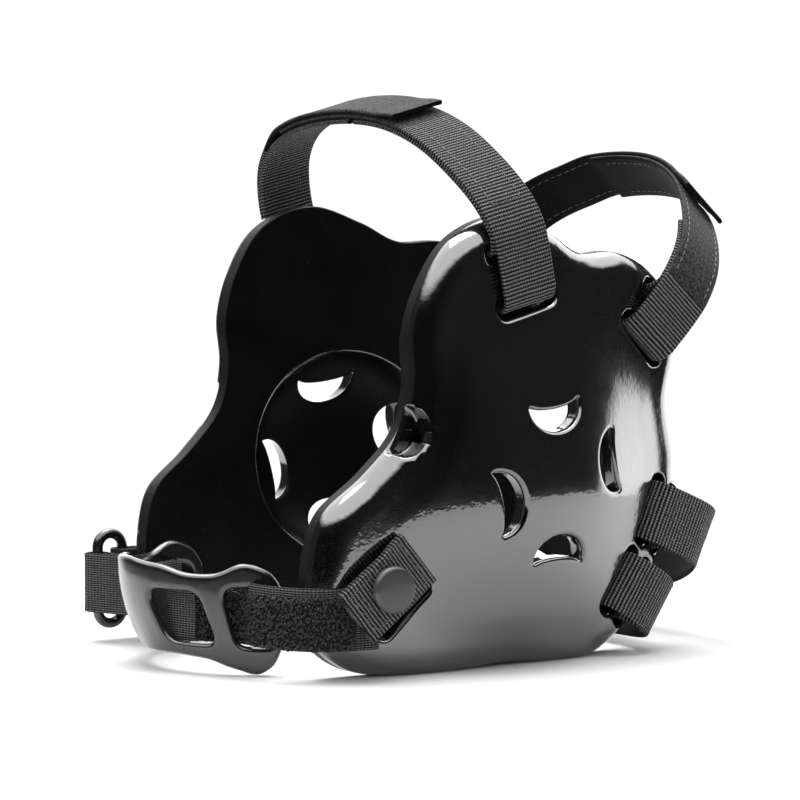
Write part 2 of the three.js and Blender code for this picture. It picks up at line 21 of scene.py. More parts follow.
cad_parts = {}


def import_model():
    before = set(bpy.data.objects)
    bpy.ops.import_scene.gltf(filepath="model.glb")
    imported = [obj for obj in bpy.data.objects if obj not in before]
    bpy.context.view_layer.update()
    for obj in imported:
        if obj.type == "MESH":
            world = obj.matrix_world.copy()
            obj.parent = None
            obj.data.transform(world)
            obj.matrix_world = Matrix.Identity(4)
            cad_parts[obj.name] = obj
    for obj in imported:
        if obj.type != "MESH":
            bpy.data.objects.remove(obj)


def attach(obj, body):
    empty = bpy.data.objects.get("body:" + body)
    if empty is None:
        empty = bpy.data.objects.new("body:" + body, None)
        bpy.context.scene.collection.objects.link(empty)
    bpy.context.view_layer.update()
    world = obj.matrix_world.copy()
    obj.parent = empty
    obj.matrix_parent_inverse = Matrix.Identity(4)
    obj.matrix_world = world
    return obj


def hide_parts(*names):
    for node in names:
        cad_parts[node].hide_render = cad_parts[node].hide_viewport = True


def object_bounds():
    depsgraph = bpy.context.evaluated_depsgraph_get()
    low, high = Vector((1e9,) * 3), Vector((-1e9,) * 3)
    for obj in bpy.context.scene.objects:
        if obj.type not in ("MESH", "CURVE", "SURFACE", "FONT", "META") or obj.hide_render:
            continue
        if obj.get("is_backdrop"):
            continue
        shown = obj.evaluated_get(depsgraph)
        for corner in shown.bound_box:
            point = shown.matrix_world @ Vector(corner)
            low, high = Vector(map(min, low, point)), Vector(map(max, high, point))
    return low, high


MM = 0.001
MIDDLE_SHIFT = (0.0, 1.855, 0.0)
LOG = logging.getLogger("ear_guard")

Place = Callable[[np.ndarray], np.ndarray]
Pair = tuple[float, float]
Inputs = dict[str | int, object]
Tree = bpy.types.NodeTree
Node = bpy.types.Node
Socket = bpy.types.NodeSocket
Material = bpy.types.Material
Thing = bpy.types.Object

# Noise seldom goes outside these values.
NOISE_RANGE: Pair = (0.3, 0.7)
SHEEN: Inputs = {"Sheen Weight": 0.06, "Sheen Roughness": 0.4}


class Face(Enum):
    """Which face of a band of webbing points where."""

    OUTER = 1
    INNER = -1


# Flat geometry


def smoothstep(share: np.ndarray | float) -> np.ndarray | float:
    """Ease from 0 to 1, held outside that range."""
    held = np.clip(share, 0, 1)
    return held * held * (3 - 2 * held)


def resampled(points: np.ndarray, step: float, closed: bool = False) -> np.ndarray:
    """Space the points of a line evenly.

    Args:
        points: the line, one row a point.
        step: distance between the new points.
        closed: whether the line joins its own start.

    Returns:
        The new points, without a second copy of the start where it is closed.
    """
    line = np.vstack([points, points[:1]]) if closed else points
    run = np.concatenate([[0], np.cumsum(np.linalg.norm(np.diff(line, axis=0), axis=1))])
    count = max(round(run[-1] / step), 3)
    at = np.linspace(0, run[-1], count + 1)
    made = np.stack([np.interp(at, run, line[:, axis]) for axis in range(line.shape[1])], 1)
    return made[:-1] if closed else made


def closed_curve(corners: np.ndarray, step: float) -> np.ndarray:
    """Draw a centripetal curve through a ring of corners.

    Args:
        corners: the corners in order.
        step: distance between the points of the curve.

    Returns:
        The points of the curve.
    """
    count = len(corners)
    spans = []
    share = np.linspace(0, 1, 24, endpoint=False)[:, None]
    for index in range(count):
        a, b, c, d = (corners[(index + offset - 1) % count] for offset in range(4))
        ab, bc, cd = (math.sqrt(np.linalg.norm(q - p)) for p, q in ((a, b), (b, c), (c, d)))
        leaving = ((b - a) / ab - (c - a) / (ab + bc) + (c - b) / bc) * bc
        arriving = ((c - b) / bc - (d - b) / (bc + cd) + (d - c) / cd) * bc
        cubic = 2 * b - 2 * c + leaving + arriving
        square = -3 * b + 3 * c - 2 * leaving - arriving
        spans.append(((cubic * share + square) * share + leaving) * share + b)
    return resampled(np.vstack(spans), step, closed=True)


def spline(points: Sequence[Sequence[float]], step: float) -> np.ndarray:
    """Draw an even curve through the points of an open line.

    Args:
        points: the points that the curve passes through.
        step: distance between the points of the curve.

    Returns:
        The points of the curve.
    """
    given = np.asarray(points, float)
    padded = np.vstack([given[:1], given, given[-1:]])
    share = np.linspace(0, 1, 16, endpoint=False)[:, None]
    spans = []
    for a, b, c, d in zip(padded, padded[1:], padded[2:], padded[3:]):
        leaving, arriving = (c - a) / 2, (d - b) / 2
        cubic = 2 * b - 2 * c + leaving + arriving
        square = -3 * b + 3 * c - 2 * leaving - arriving
        spans.append(((cubic * share + square) * share + leaving) * share + b)
    return resampled(np.vstack([*spans, given[-1:]]), step)


def beside(path: np.ndarray, distance: np.ndarray | float) -> np.ndarray:
    """Move a flat path sideways.

    Args:
        path: the path, one row a point.
        distance: how far it moves, to its left where that is positive.

    Returns:
        The moved points.
    """
    along = np.vstack([path[1:2] - path[:1], path[2:] - path[:-2], path[-1:] - path[-2:-1]])
    along = along / np.linalg.norm(along, axis=1, keepdims=True)
    return path + np.stack([-along[:, 1], along[:, 0]], 1) * np.reshape(distance, (-1, 1))


def turned(points: np.ndarray, degrees: float) -> np.ndarray:
    """Turn flat points about zero, anticlockwise."""
    cos, sin = math.cos(math.radians(degrees)), math.sin(math.radians(degrees))
    return points @ np.array([[cos, sin], [-sin, cos]])


def anticlockwise(loop: np.ndarray) -> np.ndarray:
    """Give a loop in anticlockwise order.

    Args:
        loop: the loop's corners.

    Returns:
        The corners, in the other order where they ran clockwise.
    """
    following = np.roll(loop, -1, 0)
    area = np.sum(loop[:, 0] * following[:, 1] - following[:, 0] * loop[:, 1])
    return loop if area > 0 else loop[::-1]


def softened(loop: np.ndarray, rounds: int) -> np.ndarray:
    """Round a loop's corners.

    Args:
        loop: the loop, evenly spaced.
        rounds: how often each point moves towards its neighbours.

    Returns:
        The rounder loop.
    """
    for _ in range(rounds):
        loop = loop * 0.5 + (np.roll(loop, 1, 0) + np.roll(loop, -1, 0)) * 0.25
    return loop


def gap_to(points: np.ndarray, loop: np.ndarray) -> np.ndarray:
    """Measure how far points lie from a closed loop.

    Args:
        points: flat points.
        loop: the loop's corners.

    Returns:
        One distance a point.
    """
    span = np.roll(loop, -1, 0) - loop
    squared = np.maximum((span**2).sum(1), 1e-12)
    found = []
    for part in np.array_split(points, max(len(points) // 1500, 1)):
        off = part[:, None] - loop[None]
        share = np.clip((off * span[None]).sum(2) / squared[None], 0, 1)
        found.append(np.linalg.norm(off - span[None] * share[..., None], axis=2).min(1))
    gaps = np.concatenate(found)
    return np.where(gaps < 1e-3, 0, gaps)


def inside(points: np.ndarray, loop: np.ndarray) -> np.ndarray:
    """Tell which flat points a closed loop holds.

    Args:
        points: flat points.
        loop: the loop's corners.

    Returns:
        Whether it holds each point.
    """
    start, end = loop, np.roll(loop, -1, 0)
    found = []
    for part in np.array_split(points, max(len(points) // 3000, 1)):
        across, rise = part[:, 0:1], part[:, 1:2]
        crosses = (start[None, :, 1] > rise) != (end[None, :, 1] > rise)
        height = end[None, :, 1] - start[None, :, 1]
        height = np.where(np.abs(height) < 1e-12, 1e-12, height)
        share = (rise - start[None, :, 1]) / height
        at = start[None, :, 0] + share * (end - start)[None, :, 0]
        found.append((crosses & (across < at)).sum(1) % 2 == 1)
    return np.concatenate(found)


def rings_beside(loop: np.ndarray, distances: Sequence[float], outward: bool) -> np.ndarray:
    """Lay rows of points beside a loop, so that a mesh follows its edge closely.

    Args:
        loop: the loop, anticlockwise.
        distances: how far each row lies from it.
        outward: whether the rows lie outside it.

    Returns:
        The points of all rows that keep their distance.
    """
    along = np.roll(loop, -1, 0) - np.roll(loop, 1, 0)
    along = along / np.linalg.norm(along, axis=1, keepdims=True)
    side = np.stack([along[:, 1], -along[:, 0]], 1) * (1 if outward else -1)
    rows = []
    for number, distance in enumerate(distances):
        row = (loop + side * distance)[(number % 2) :: (1 if distance < 3 else 2)]
        rows.append(row[gap_to(row, loop) > distance * 0.93])
    return np.vstack(rows)


def hex_grid(low: np.ndarray, high: np.ndarray, pitch: float) -> np.ndarray:
    """Fill a box with points in a honeycomb pattern.

    Args:
        low: the box's lowest corner.
        high: its highest one.
        pitch: distance between the points.

    Returns:
        The points.
    """
    rows = []
    for number, rise in enumerate(np.arange(low[1], high[1], pitch * 0.866)):
        across = np.arange(low[0] + (number % 2) * pitch / 2, high[0], pitch)
        rows.append(np.stack([across, np.full_like(across, rise)], 1))
    return np.vstack(rows)


def flat_region(
    edge: np.ndarray, holes: Sequence[np.ndarray], filling: np.ndarray
) -> tuple[np.ndarray, np.ndarray]:
    """Mesh a flat region with holes.

    Args:
        edge: its outer loop.
        holes: the loops of its holes.
        filling: points inside it.

    Returns:
        Its points and the triangles between them.
    """
    loops = [edge, *holes]
    points = np.vstack([*loops, filling])
    owners = []
    start = 0
    for loop in loops:
        owners.append(list(range(start, start + len(loop))))
        start += len(loop)
    made = delaunay_2d_cdt([Vector(p) for p in points.tolist()], [], owners, 0, 1e-6)
    kept = [face for face, held in zip(made[2], made[5]) if list(held) == [0]]
    return np.array([v[:] for v in made[0]]), np.array(kept)


def filled_region(
    edge: np.ndarray,
    holes: Sequence[np.ndarray],
    edge_rows: Sequence[float],
    hole_rows: Sequence[float],
    pitch: float,
) -> tuple[np.ndarray, np.ndarray]:
    """Mesh a flat region with close rows along its edges and a honeycomb between them.

    Args:
        edge: its outer loop.
        holes: the loops of its holes.
        edge_rows: distances of the rows inside the outer loop.
        hole_rows: distances of the rows round each hole.
        pitch: spacing of the honeycomb.

    Returns:
        Its points and the triangles between them.
    """
    holes = [anticlockwise(hole) for hole in holes]
    near_edge, near_hole = edge_rows[-1], hole_rows[-1]
    rows = [rings_beside(edge, edge_rows, False)]
    for hole in holes:
        rows[0] = rows[0][gap_to(rows[0], hole) > near_hole + 0.3]
    for number, hole in enumerate(holes):
        row = rings_beside(hole, hole_rows, True)
        row = row[inside(row, edge) & (gap_to(row, edge) > 0.5)]
        for other in holes[:number] + holes[number + 1 :]:
            row = row[gap_to(row, other) > 0.4]
        rows.append(row)
    grid = hex_grid(edge.min(0), edge.max(0), pitch)
    grid = grid[inside(grid, edge)]
    grid = grid[gap_to(grid, edge) > near_edge + pitch * 0.6]
    for hole in holes:
        grid = grid[~inside(grid, hole)]
        grid = grid[gap_to(grid, hole) > near_hole + pitch * 0.5]
    return flat_region(edge, holes, np.vstack([*rows, grid]))


# Meshes


@dataclass
class MeshDraft:
    """Corners, faces and finish numbers of a piece while it is drawn up."""

    points: list[np.ndarray] = field(default_factory=list)
    faces: list[tuple[int, ...]] = field(default_factory=list)
    finishes: list[int] = field(default_factory=list)
    flat: list[np.ndarray] = field(default_factory=list)
    count: int = 0

    def add(
        self,
        points: np.ndarray,
        faces: Sequence[Sequence[int]],
        finish: int | Sequence[int],
        flat: np.ndarray | None = None,
    ) -> None:
        """Add corners and the faces between them.

        Args:
            points: the corners in millimetres.
            faces: corner numbers of each face, counted within points.
            finish: number of the material, one for all or one a face.
            flat: place of each corner on the cloth, in millimetres.
        """
        shift = self.count
        self.points.append(np.asarray(points, float))
        self.faces += [tuple(int(corner) + shift for corner in face) for face in faces]
        self.finishes += [finish] * len(faces) if isinstance(finish, int) else list(finish)
        self.flat.append(np.zeros((len(points), 2)) if flat is None else flat)
        self.count += len(points)

    def strip(self, rows: Sequence[np.ndarray], finish: int) -> None:
        """Join closed rows of equally many points, each to the next.

        Args:
            rows: the rows, in millimetres.
            finish: number of the material.
        """
        count = len(rows[0])
        faces = []
        for row in range(len(rows) - 1):
            for at in range(count):
                after = (at + 1) % count
                low, high = row * count, (row + 1) * count
                faces.append((low + at, low + after, high + after, high + at))
        self.add(np.vstack(rows), faces, finish)

    def object(
        self, name: str, materials: Sequence[Material], angle: float, merge: float = 0.002
    ) -> Thing:
        """Make the piece, with its faces turned outwards.

        Args:
            name: the piece's name.
            materials: its finishes in the order of their numbers.
            angle: edges sharper than this stay sharp, in degrees.
            merge: corners closer than this are one, in millimetres.

        Returns:
            The new object, linked to the scene.
        """
        mesh = bpy.data.meshes.new(name)
        places = (np.vstack(self.points) + np.array(MIDDLE_SHIFT)) * MM
        mesh.from_pydata(places.tolist(), [], self.faces)
        for material in materials:
            mesh.materials.append(material)
        mesh.polygons.foreach_set("material_index", np.array(self.finishes, np.int32))
        corners = np.zeros(len(mesh.loops), np.int32)
        mesh.loops.foreach_get("vertex_index", corners)
        cloth = mesh.uv_layers.new(name="cloth")
        cloth.data.foreach_set("uv", np.vstack(self.flat)[corners].astype(np.float32).ravel())
        drawn = bmesh.new()
        drawn.from_mesh(mesh)
        bmesh.ops.remove_doubles(drawn, verts=drawn.verts, dist=merge * MM)
        bmesh.ops.dissolve_degenerate(drawn, edges=drawn.edges, dist=1e-7)
        bmesh.ops.recalc_face_normals(drawn, faces=drawn.faces)
        drawn.to_mesh(mesh)
        drawn.free()
        mesh.polygons.foreach_set("use_smooth", np.ones(len(mesh.polygons), bool))
        mesh.set_sharp_from_angle(angle=math.radians(angle))
        return linked(name, mesh)


def linked(name: str, data: bpy.types.ID) -> Thing:
    """Make an object and link it to the scene.

    Args:
        name: its name.
        data: its mesh, camera or light.

    Returns:
        The new object.
    """
    made = bpy.data.objects.new(name, data)
    bpy.context.scene.collection.objects.link(made)
    return made


def plain_copy(source: Thing, name: str) -> Thing:
    """Turn an object with live modifiers into a plain mesh and drop the source.

    Args:
        source: the object with its modifiers.
        name: name of the result.

    Returns:
        The plain object.
    """
    graph = bpy.context.evaluated_depsgraph_get()
    mesh = bpy.data.meshes.new_from_object(source.evaluated_get(graph), depsgraph=graph)
    mesh.name = name
    bpy.data.objects.remove(source)
    return linked(name, mesh)


def settled(piece: Thing, slot: str, *nodes: str) -> Thing:
    """Let a finished piece ride with the headgear and stand for its solids.

    Args:
        piece: the finished piece.
        slot: not used.
        nodes: the solids that it stands for.

    Returns:
        The same piece.
    """
    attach(piece, "root")
    if nodes:
        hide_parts(*nodes)
    LOG.info("%s: %d faces", piece.name, len(piece.data.polygons))
    return piece


# Materials


def srgb(code: str) -> tuple[float, float, float, float]:
    """Turn a hex colour into linear light.

    Args:
        code: the colour, such as 1c1c1e.

    Returns:
        Red, green, blue and alpha.
    """
    parts = [int(code[at : at + 2], 16) / 255 for at in (0, 2, 4)]
    linear = [p / 12.92 if p <= 0.04045 else ((p + 0.055) / 1.055) ** 2.4 for p in parts]
    return linear[0], linear[1], linear[2], 1.0


def feed(tree: Tree, node: Node, inputs: Inputs) -> None:
    """Set a node's inputs.

    Args:
        tree: the node's tree.
        node: the node.
        inputs: socket name or number to a value, or to the socket that feeds it.
    """
    for name, value in inputs.items():
        if isinstance(value, bpy.types.NodeSocket):
            tree.links.new(value, node.inputs[name])
        else:
            node.inputs[name].default_value = value


def add_node(tree: Tree, kind: str, inputs: Inputs | None = None, **settings: object) -> Node:
    """Add a node with its settings and links.

    Args:
        tree: the tree that gets the node.
        kind: the node's type.
        inputs: socket name or number to a value, or to the socket that feeds it.
        settings: the node's own properties.

    Returns:
        The new node.
    """
    node = tree.nodes.new(kind)
    for name, value in settings.items():
        setattr(node, name, value)
    feed(tree, node, inputs or {})
    return node


def out_of(tree: Tree, kind: str, inputs: Inputs | None = None, **settings: object) -> Socket:
    """Add a node and give its first output."""
    return add_node(tree, kind, inputs, **settings).outputs[0]


def worked(tree: Tree, operation: str, *values: Socket | float) -> Socket:
    """Work out one value from others, taken in order."""
    return out_of(tree, "ShaderNodeMath", dict(enumerate(values)), operation=operation)


def spread(tree: Tree, value: Socket, given: Pair, wanted: Pair) -> Socket:
    """Map one range of values to another, held at its ends."""
    ends = {1: given[0], 2: given[1], 3: wanted[0], 4: wanted[1]}
    return out_of(tree, "ShaderNodeMapRange", {"Value": value, **ends})


@dataclass(frozen=True)
class Finish:
    """What every finish has: a name, a colour and how it meets light."""

    name: str
    colour: str
    roughness: float
    ior: float = 1.5

    def made(self) -> Material:
        """Build the material.

        Returns:
            The new material.
        """
        material = bpy.data.materials.new(self.name)
        material.use_nodes = True
        tree = material.node_tree
        tree.nodes.clear()
        plain = {"Base Color": srgb(self.colour), "Roughness": self.roughness, "IOR": self.ior}
        shader = add_node(tree, "ShaderNodeBsdfPrincipled", plain)
        add_node(tree, "ShaderNodeOutputMaterial", {"Surface": shader.outputs[0]})
        feed(tree, shader, self.look(tree))
        return material

    def look(self, tree: Tree) -> Inputs:
        """Work out the shader's inputs, beyond those of a plain finish."""
        raise NotImplementedError

    def noise(
        self, tree: Tree, pitch: float, detail: float, squeeze: Sequence[float] = (1, 1, 1)
    ) -> Socket:
        """Add noise whose grains are a real size.

        Args:
            tree: the material's tree.
            pitch: size of a grain in millimetres.
            detail: how much finer noise it holds.
            squeeze: how far the grains are squeezed along each axis.

        Returns:
            The noise, from 0 to 1.
        """
        place = add_node(tree, "ShaderNodeTexCoord").outputs["Object"]
        squeezed = out_of(tree, "ShaderNodeMapping", {"Vector": place, "Scale": tuple(squeeze)})
        grain = {"Vector": squeezed, "Scale": 1 / (pitch * MM), "Detail": detail, "Roughness": 0.55}
        return out_of(tree, "ShaderNodeTexNoise", grain)

    def bump(
        self, tree: Tree, height: Socket, depth: float, under: Socket | None = None
    ) -> Socket:
        """Turn a height into a bump.

        Args:
            tree: the material's tree.
            height: the height, from 0 to 1.
            depth: its real depth in millimetres.
            under: normal that it adds to.

        Returns:
            The bumped normal.
        """
        inputs = {"Height": height, "Distance": depth * MM, "Strength": 1.0}
        if under is not None:
            inputs["Normal"] = under
        return out_of(tree, "ShaderNodeBump", inputs)

    def tinted(
        self, tree: Tree, pattern: Socket, kept: Pair, light: str, most: float = 1
    ) -> Socket:
        """Mix a lighter colour into the finish's own one by a pattern.

        Args:
            tree: the material's tree.
            pattern: the pattern.
            kept: its values where the lighter colour starts and is full.
            light: the lighter colour.
            most: share of the lighter colour where it is full.

        Returns:
            The colour.
        """
        share = spread(tree, pattern, kept, (0, most))
        colours = {0: share, 6: srgb(self.colour), 7: srgb(light)}
        return add_node(tree, "ShaderNodeMix", colours, data_type="RGBA").outputs[2]


@dataclass(frozen=True)
class CoatedFoam(Finish):
    """Closed-cell foam dipped in gloss vinyl: a wet shine over a faint orange peel."""

    peel: float = 1.7
    peel_depth: float = 0.026
    grain: float = 0.45
    grain_depth: float = 0.0016
    wave: float = 14.0
    wave_depth: float = 0.10
    scuff: float = 7.0
    dust: float = 1.1
    dust_colour: str = "242425"
    coat_roughness: float = 0.06
    coat_ior: float = 2.06

    def look(self, tree: Tree) -> Inputs:
        """Work out the coat, its peel and waves, and the scuffs and dust on it.

        Args:
            tree: the material's tree.

        Returns:
            The shader's inputs.
        """
        peel = self.bump(tree, self.noise(tree, self.peel, 1.0), self.peel_depth)
        fine = self.bump(tree, self.noise(tree, self.grain, 2.0), self.grain_depth, peel)
        waves = self.bump(tree, self.noise(tree, self.wave, 1.0), self.wave_depth, fine)
        dust = self.noise(tree, self.dust, 0.0)
        scuffed = (self.roughness, self.roughness * 1.5)
        return {
            "Base Color": self.tinted(tree, dust, (0.72, 0.80), self.dust_colour),
            "Roughness": spread(tree, self.noise(tree, self.scuff, 6.0), NOISE_RANGE, scuffed),
            "Normal": waves,
            "Coat Normal": waves,
            "Coat Weight": 1.0,
            "Coat Roughness": self.coat_roughness,
            "Coat IOR": self.coat_ior,
        }


@dataclass(frozen=True)
class SatinFoam(Finish):
    """The guard's inner skin: the same vinyl with a fine satin grain, a little dusty."""

    grain: float = 0.5
    grain_depth: float = 0.014
    wave: float = 18.0
    wave_depth: float = 0.25
    cloud: float = 22.0
    cloud_roughness: Pair = (0.34, 0.5)
    dust: float = 0.9
    dust_colour: str = "262627"

    def look(self, tree: Tree) -> Inputs:
        """Work out the grain, the waves, the cloudy sheen and the dust.

        Args:
            tree: the material's tree.

        Returns:
            The shader's inputs.
        """
        grain = self.bump(tree, self.noise(tree, self.grain, 3.0), self.grain_depth)
        dust = self.noise(tree, self.dust, 0.0)
        cloud = self.noise(tree, self.cloud, 5.0)
        return {
            "Base Color": self.tinted(tree, dust, (0.74, 0.82), self.dust_colour, 0.8),
            "Roughness": spread(tree, cloud, NOISE_RANGE, self.cloud_roughness),
            "Normal": self.bump(tree, self.noise(tree, self.wave, 2.0), self.wave_depth, grain),
        }


@dataclass(frozen=True)
class CutFoam(Finish):
    """Bare closed-cell foam where the skin was cut: matt, with open cells."""

    cell: float = 0.45
    depth: float = 0.05
    light: str = "161617"

    def look(self, tree: Tree) -> Inputs:
        """Work out the open cells and their paler walls.

        Args:
            tree: the material's tree.

        Returns:
            The shader's inputs.
        """
        place = add_node(tree, "ShaderNodeTexCoord").outputs["Object"]
        scaled = {"Vector": place, "Scale": 1 / (self.cell * MM)}
        cells = out_of(tree, "ShaderNodeTexVoronoi", scaled)
        grain = self.noise(tree, self.cell * 1.6, 4.0)
        rough = self.bump(tree, cells, self.depth)
        return {
            "Base Color": self.tinted(tree, grain, (0.35, 0.72), self.light),
            "Normal": self.bump(tree, grain, self.depth, rough),
        }


class Weave(Enum):
    """How the ribs of a webbing run."""

    ACROSS = "across"
    ALONG = "along"


@dataclass(frozen=True)
class Webbing(Finish):
    """Woven nylon webbing: dull yarn in raised ribs, with painted shade in the grooves."""

    weave: Weave = Weave.ACROSS
    rib: float = 1.25
    yarn: float = 0.9
    light: str = "9a9a9c"
    depth: float = 0.9
    lint: float = 0.35
    lint_depth: float = 0.05
    drift: float = 6.0
    drift_reach: Pair = (-0.1, 0.1)

    def look(self, tree: Tree) -> Inputs:
        """Work out the ribs, the yarns that cross them, the lint on both and the painted shade in
        their grooves.

        Args:
            tree: the material's tree.

        Returns:
            The shader's inputs.
        """
        flat = out_of(tree, "ShaderNodeUVMap", uv_map="cloth")
        shift = spread(tree, self.noise(tree, self.drift, 2.0), NOISE_RANGE, self.drift_reach)
        moved = out_of(tree, "ShaderNodeVectorMath", {0: flat, 1: shift}, operation="ADD")
        run, across, _ = add_node(tree, "ShaderNodeSeparateXYZ", {0: moved}).outputs
        ribs_on, yarns_on = (run, across) if self.weave is Weave.ACROSS else (across, run)
        ribs, yarns = self.ridges(tree, ribs_on, self.rib), self.ridges(tree, yarns_on, self.yarn)
        height = worked(tree, "ADD", ribs, worked(tree, "MULTIPLY", yarns, 0.4))
        lint = self.noise(tree, self.lint, 2.0)
        # Painted shade: rib peaks are coloured lighter, and the grooves between ribs and between
        # yarns darker; the lint noise varies the tone at random.
        lint_and_rib_shade = worked(tree, "MULTIPLY", ribs, spread(tree, lint, (0.25, 0.75), (0.55, 1.3)))
        lit = worked(tree, "MULTIPLY", lint_and_rib_shade, spread(tree, yarns, (0, 1), (0.6, 1)))
        return {
            "Base Color": self.tinted(tree, lit, (0.36, 0.95), self.light),
            "Normal": self.bump(tree, lint, self.lint_depth, self.bump(tree, height, self.depth)),
            **SHEEN,
        }

    def ridges(self, tree: Tree, run: Socket, pitch: float) -> Socket:
        """Make rounded ridges a real distance apart.

        Args:
            tree: the material's tree.
            run: distance along the cloth in millimetres.
            pitch: distance between ridges in millimetres.

        Returns:
            Their height, from 0 to 1.
        """
        swing = worked(tree, "SINE", worked(tree, "MULTIPLY", run, math.pi / pitch))
        return worked(tree, "POWER", worked(tree, "ABSOLUTE", swing), 1.1)


@dataclass(frozen=True)
class Napped(Finish):
    """Brushed nylon tape: short fibres lying every way."""

    light: str = "48484a"
    depth: float = 0.3
    fibre: float = 0.9
    clump: float = 1.6

    def look(self, tree: Tree) -> Inputs:
        """Work out the fibres and the clumps that they lie in.

        Args:
            tree: the material's tree.

        Returns:
            The shader's inputs.
        """
        fibre = self.noise(tree, self.fibre, 3.0)
        clumps = self.bump(tree, self.noise(tree, self.clump, 3.0), self.depth)
        return {
            "Base Color": self.tinted(tree, fibre, (0.38, 0.64), self.light),
            "Normal": self.bump(tree, fibre, self.depth * 0.8, clumps),
            **SHEEN,
        }


@dataclass(frozen=True)
class Moulded(Finish):
    """Injection-moulded rubber or plastic: smooth, with faint flow and handling marks."""

    coat: float = 0.6
    coat_roughness: float = 0.12
    coat_ior: float = 1.7
    grain: float = 0.6
    grain_depth: float = 0.006
    flow: float = 9.0
    mark: float = 5.0

    def look(self, tree: Tree) -> Inputs:
        """Work out the grain, the flow lines and the handling marks.

        Args:
            tree: the material's tree.

        Returns:
            The shader's inputs.
        """
        fine = self.bump(tree, self.noise(tree, self.grain, 2.0), self.grain_depth)
        flow = self.bump(tree, self.noise(tree, self.flow, 1.0), self.grain_depth * 14, fine)
        marks = self.noise(tree, self.mark, 6.0, (1, 1, 0.4))
        handled = (self.roughness, self.roughness * 1.45)
        return {
            "Roughness": spread(tree, marks, NOISE_RANGE, handled),
            "Normal": flow,
            "Coat Normal": flow,
            "Coat Weight": self.coat,
            "Coat Roughness": self.coat_roughness,
            "Coat IOR": self.coat_ior,
        }


@dataclass(frozen=True)
class Yarn(Finish):
    """Nylon yarn of a stitch or a pile loop, too thin for a weave to show."""

    light: str = "6a6a6c"
    twist: float = 0.3
    twist_depth: float = 0.08
    tone: float = 1.8

    def look(self, tree: Tree) -> Inputs:
        """Work out the twist and the changing tone.

        Args:
            tree: the material's tree.

        Returns:
            The shader's inputs.
        """
        tone = self.noise(tree, self.tone, 3.0)
        return {
            "Base Color": self.tinted(tree, tone, (0.35, 0.68), self.light),
            "Normal": self.bump(tree, self.noise(tree, self.twist, 2.0), self.twist_depth),
            "Sheen Weight": SHEEN["Sheen Weight"],
        }


def finished(finish: Finish) -> Material:
    """Declare a finish whose material is made with the set that holds it."""
    return field(default_factory=finish.made)


@dataclass
class Finishes:
    """Every material of the headgear."""

    skin: Material = finished(CoatedFoam("gloss_vinyl_skin", "0c0c0d", 0.15))
    inner: Material = finished(SatinFoam("satin_vinyl_skin", "070708", 0.4, 1.25))
    cut_edge: Material = finished(CutFoam("cut_foam_edge", "0b0b0c", 0.5, 1.3))
    ribbed: Material = finished(Webbing("ribbed_nylon_webbing", "030303", 0.7, 1.2))
    corded: Material = finished(
        Webbing("corded_nylon_webbing", "111112", 0.7, 1.2, Weave.ALONG, 0.75, 1.3, "707072", 0.4)
    )
    brushed: Material = finished(Napped("brushed_nylon_tape", "0c0c0d", 0.8, 1.25))
    smooth: Material = finished(Napped("smooth_nylon_tape", "050506", 0.8, 1.2, "101011", 0.08))
    pile_base: Material = finished(Napped("loop_tape_ground", "050506", 0.85, 1.5, "151516", 0.2))
    pile: Material = finished(Yarn("nylon_pile_yarn", "040405", 0.45, light="1e1e1f"))
    thread: Material = finished(Yarn("nylon_sewing_thread", "2c2c2d", 0.5))
    rubber: Material = finished(Moulded("moulded_rubber", "151516", 0.24))
    acetal: Material = finished(Moulded("moulded_acetal", "141415", 0.22))
    snap: Material = finished(Moulded("painted_snap_cap", "3a3a3b", 0.34, coat=0.25))


# Repeated pieces


def started_tree(name: str, sizes: Sequence[str], numbers: Sequence[str] = ()) -> tuple[Tree, Node]:
    """Start a node tree that grows pieces on a geometry.

    Args:
        name: the tree's name.
        sizes: names of its inputs that are measures.
        numbers: names of its inputs that are whole numbers.

    Returns:
        The tree and the node that gives its inputs.
    """
    made = bpy.data.node_groups.new(name, "GeometryNodeTree")
    kinds = {"Geometry": "Geometry", **dict.fromkeys(sizes, "Float")}
    kinds |= dict.fromkeys(numbers, "Int")
    for label, kind in kinds.items():
        made.interface.new_socket(label, in_out="INPUT", socket_type="NodeSocket" + kind)
    made.interface.new_socket("Geometry", in_out="OUTPUT", socket_type="NodeSocketGeometry")
    return made, add_node(made, "NodeGroupInput")


def finished_tree(tree: Tree, grown: Socket, material: Material) -> Tree:
    """End a node tree with real pieces in their material.

    Args:
        tree: the tree.
        grown: the instances.
        material: their finish.

    Returns:
        The same tree.
    """
    real = out_of(tree, "GeometryNodeRealizeInstances", {"Geometry": grown})
    dressed = out_of(tree, "GeometryNodeSetMaterial", {"Geometry": real, "Material": material})
    add_node(tree, "NodeGroupOutput", {"Geometry": dressed})
    return tree


def grow(source: Thing, tree: Tree, sizes: dict[str, float | int], name: str) -> Thing:
    """Let a node tree grow pieces on an object, which is dropped.

    Args:
        source: the object that the tree works on.
        tree: the tree.
        sizes: input name to value.
        name: name of the result.

    Returns:
        The pieces as one plain mesh.
    """
    modifier = source.modifiers.new(tree.name, "NODES")
    modifier.node_group = tree
    for item in tree.interface.items_tree:
        if item.in_out == "INPUT" and item.name in sizes:
            modifier[item.identifier] = sizes[item.name]
    return plain_copy(source, name)


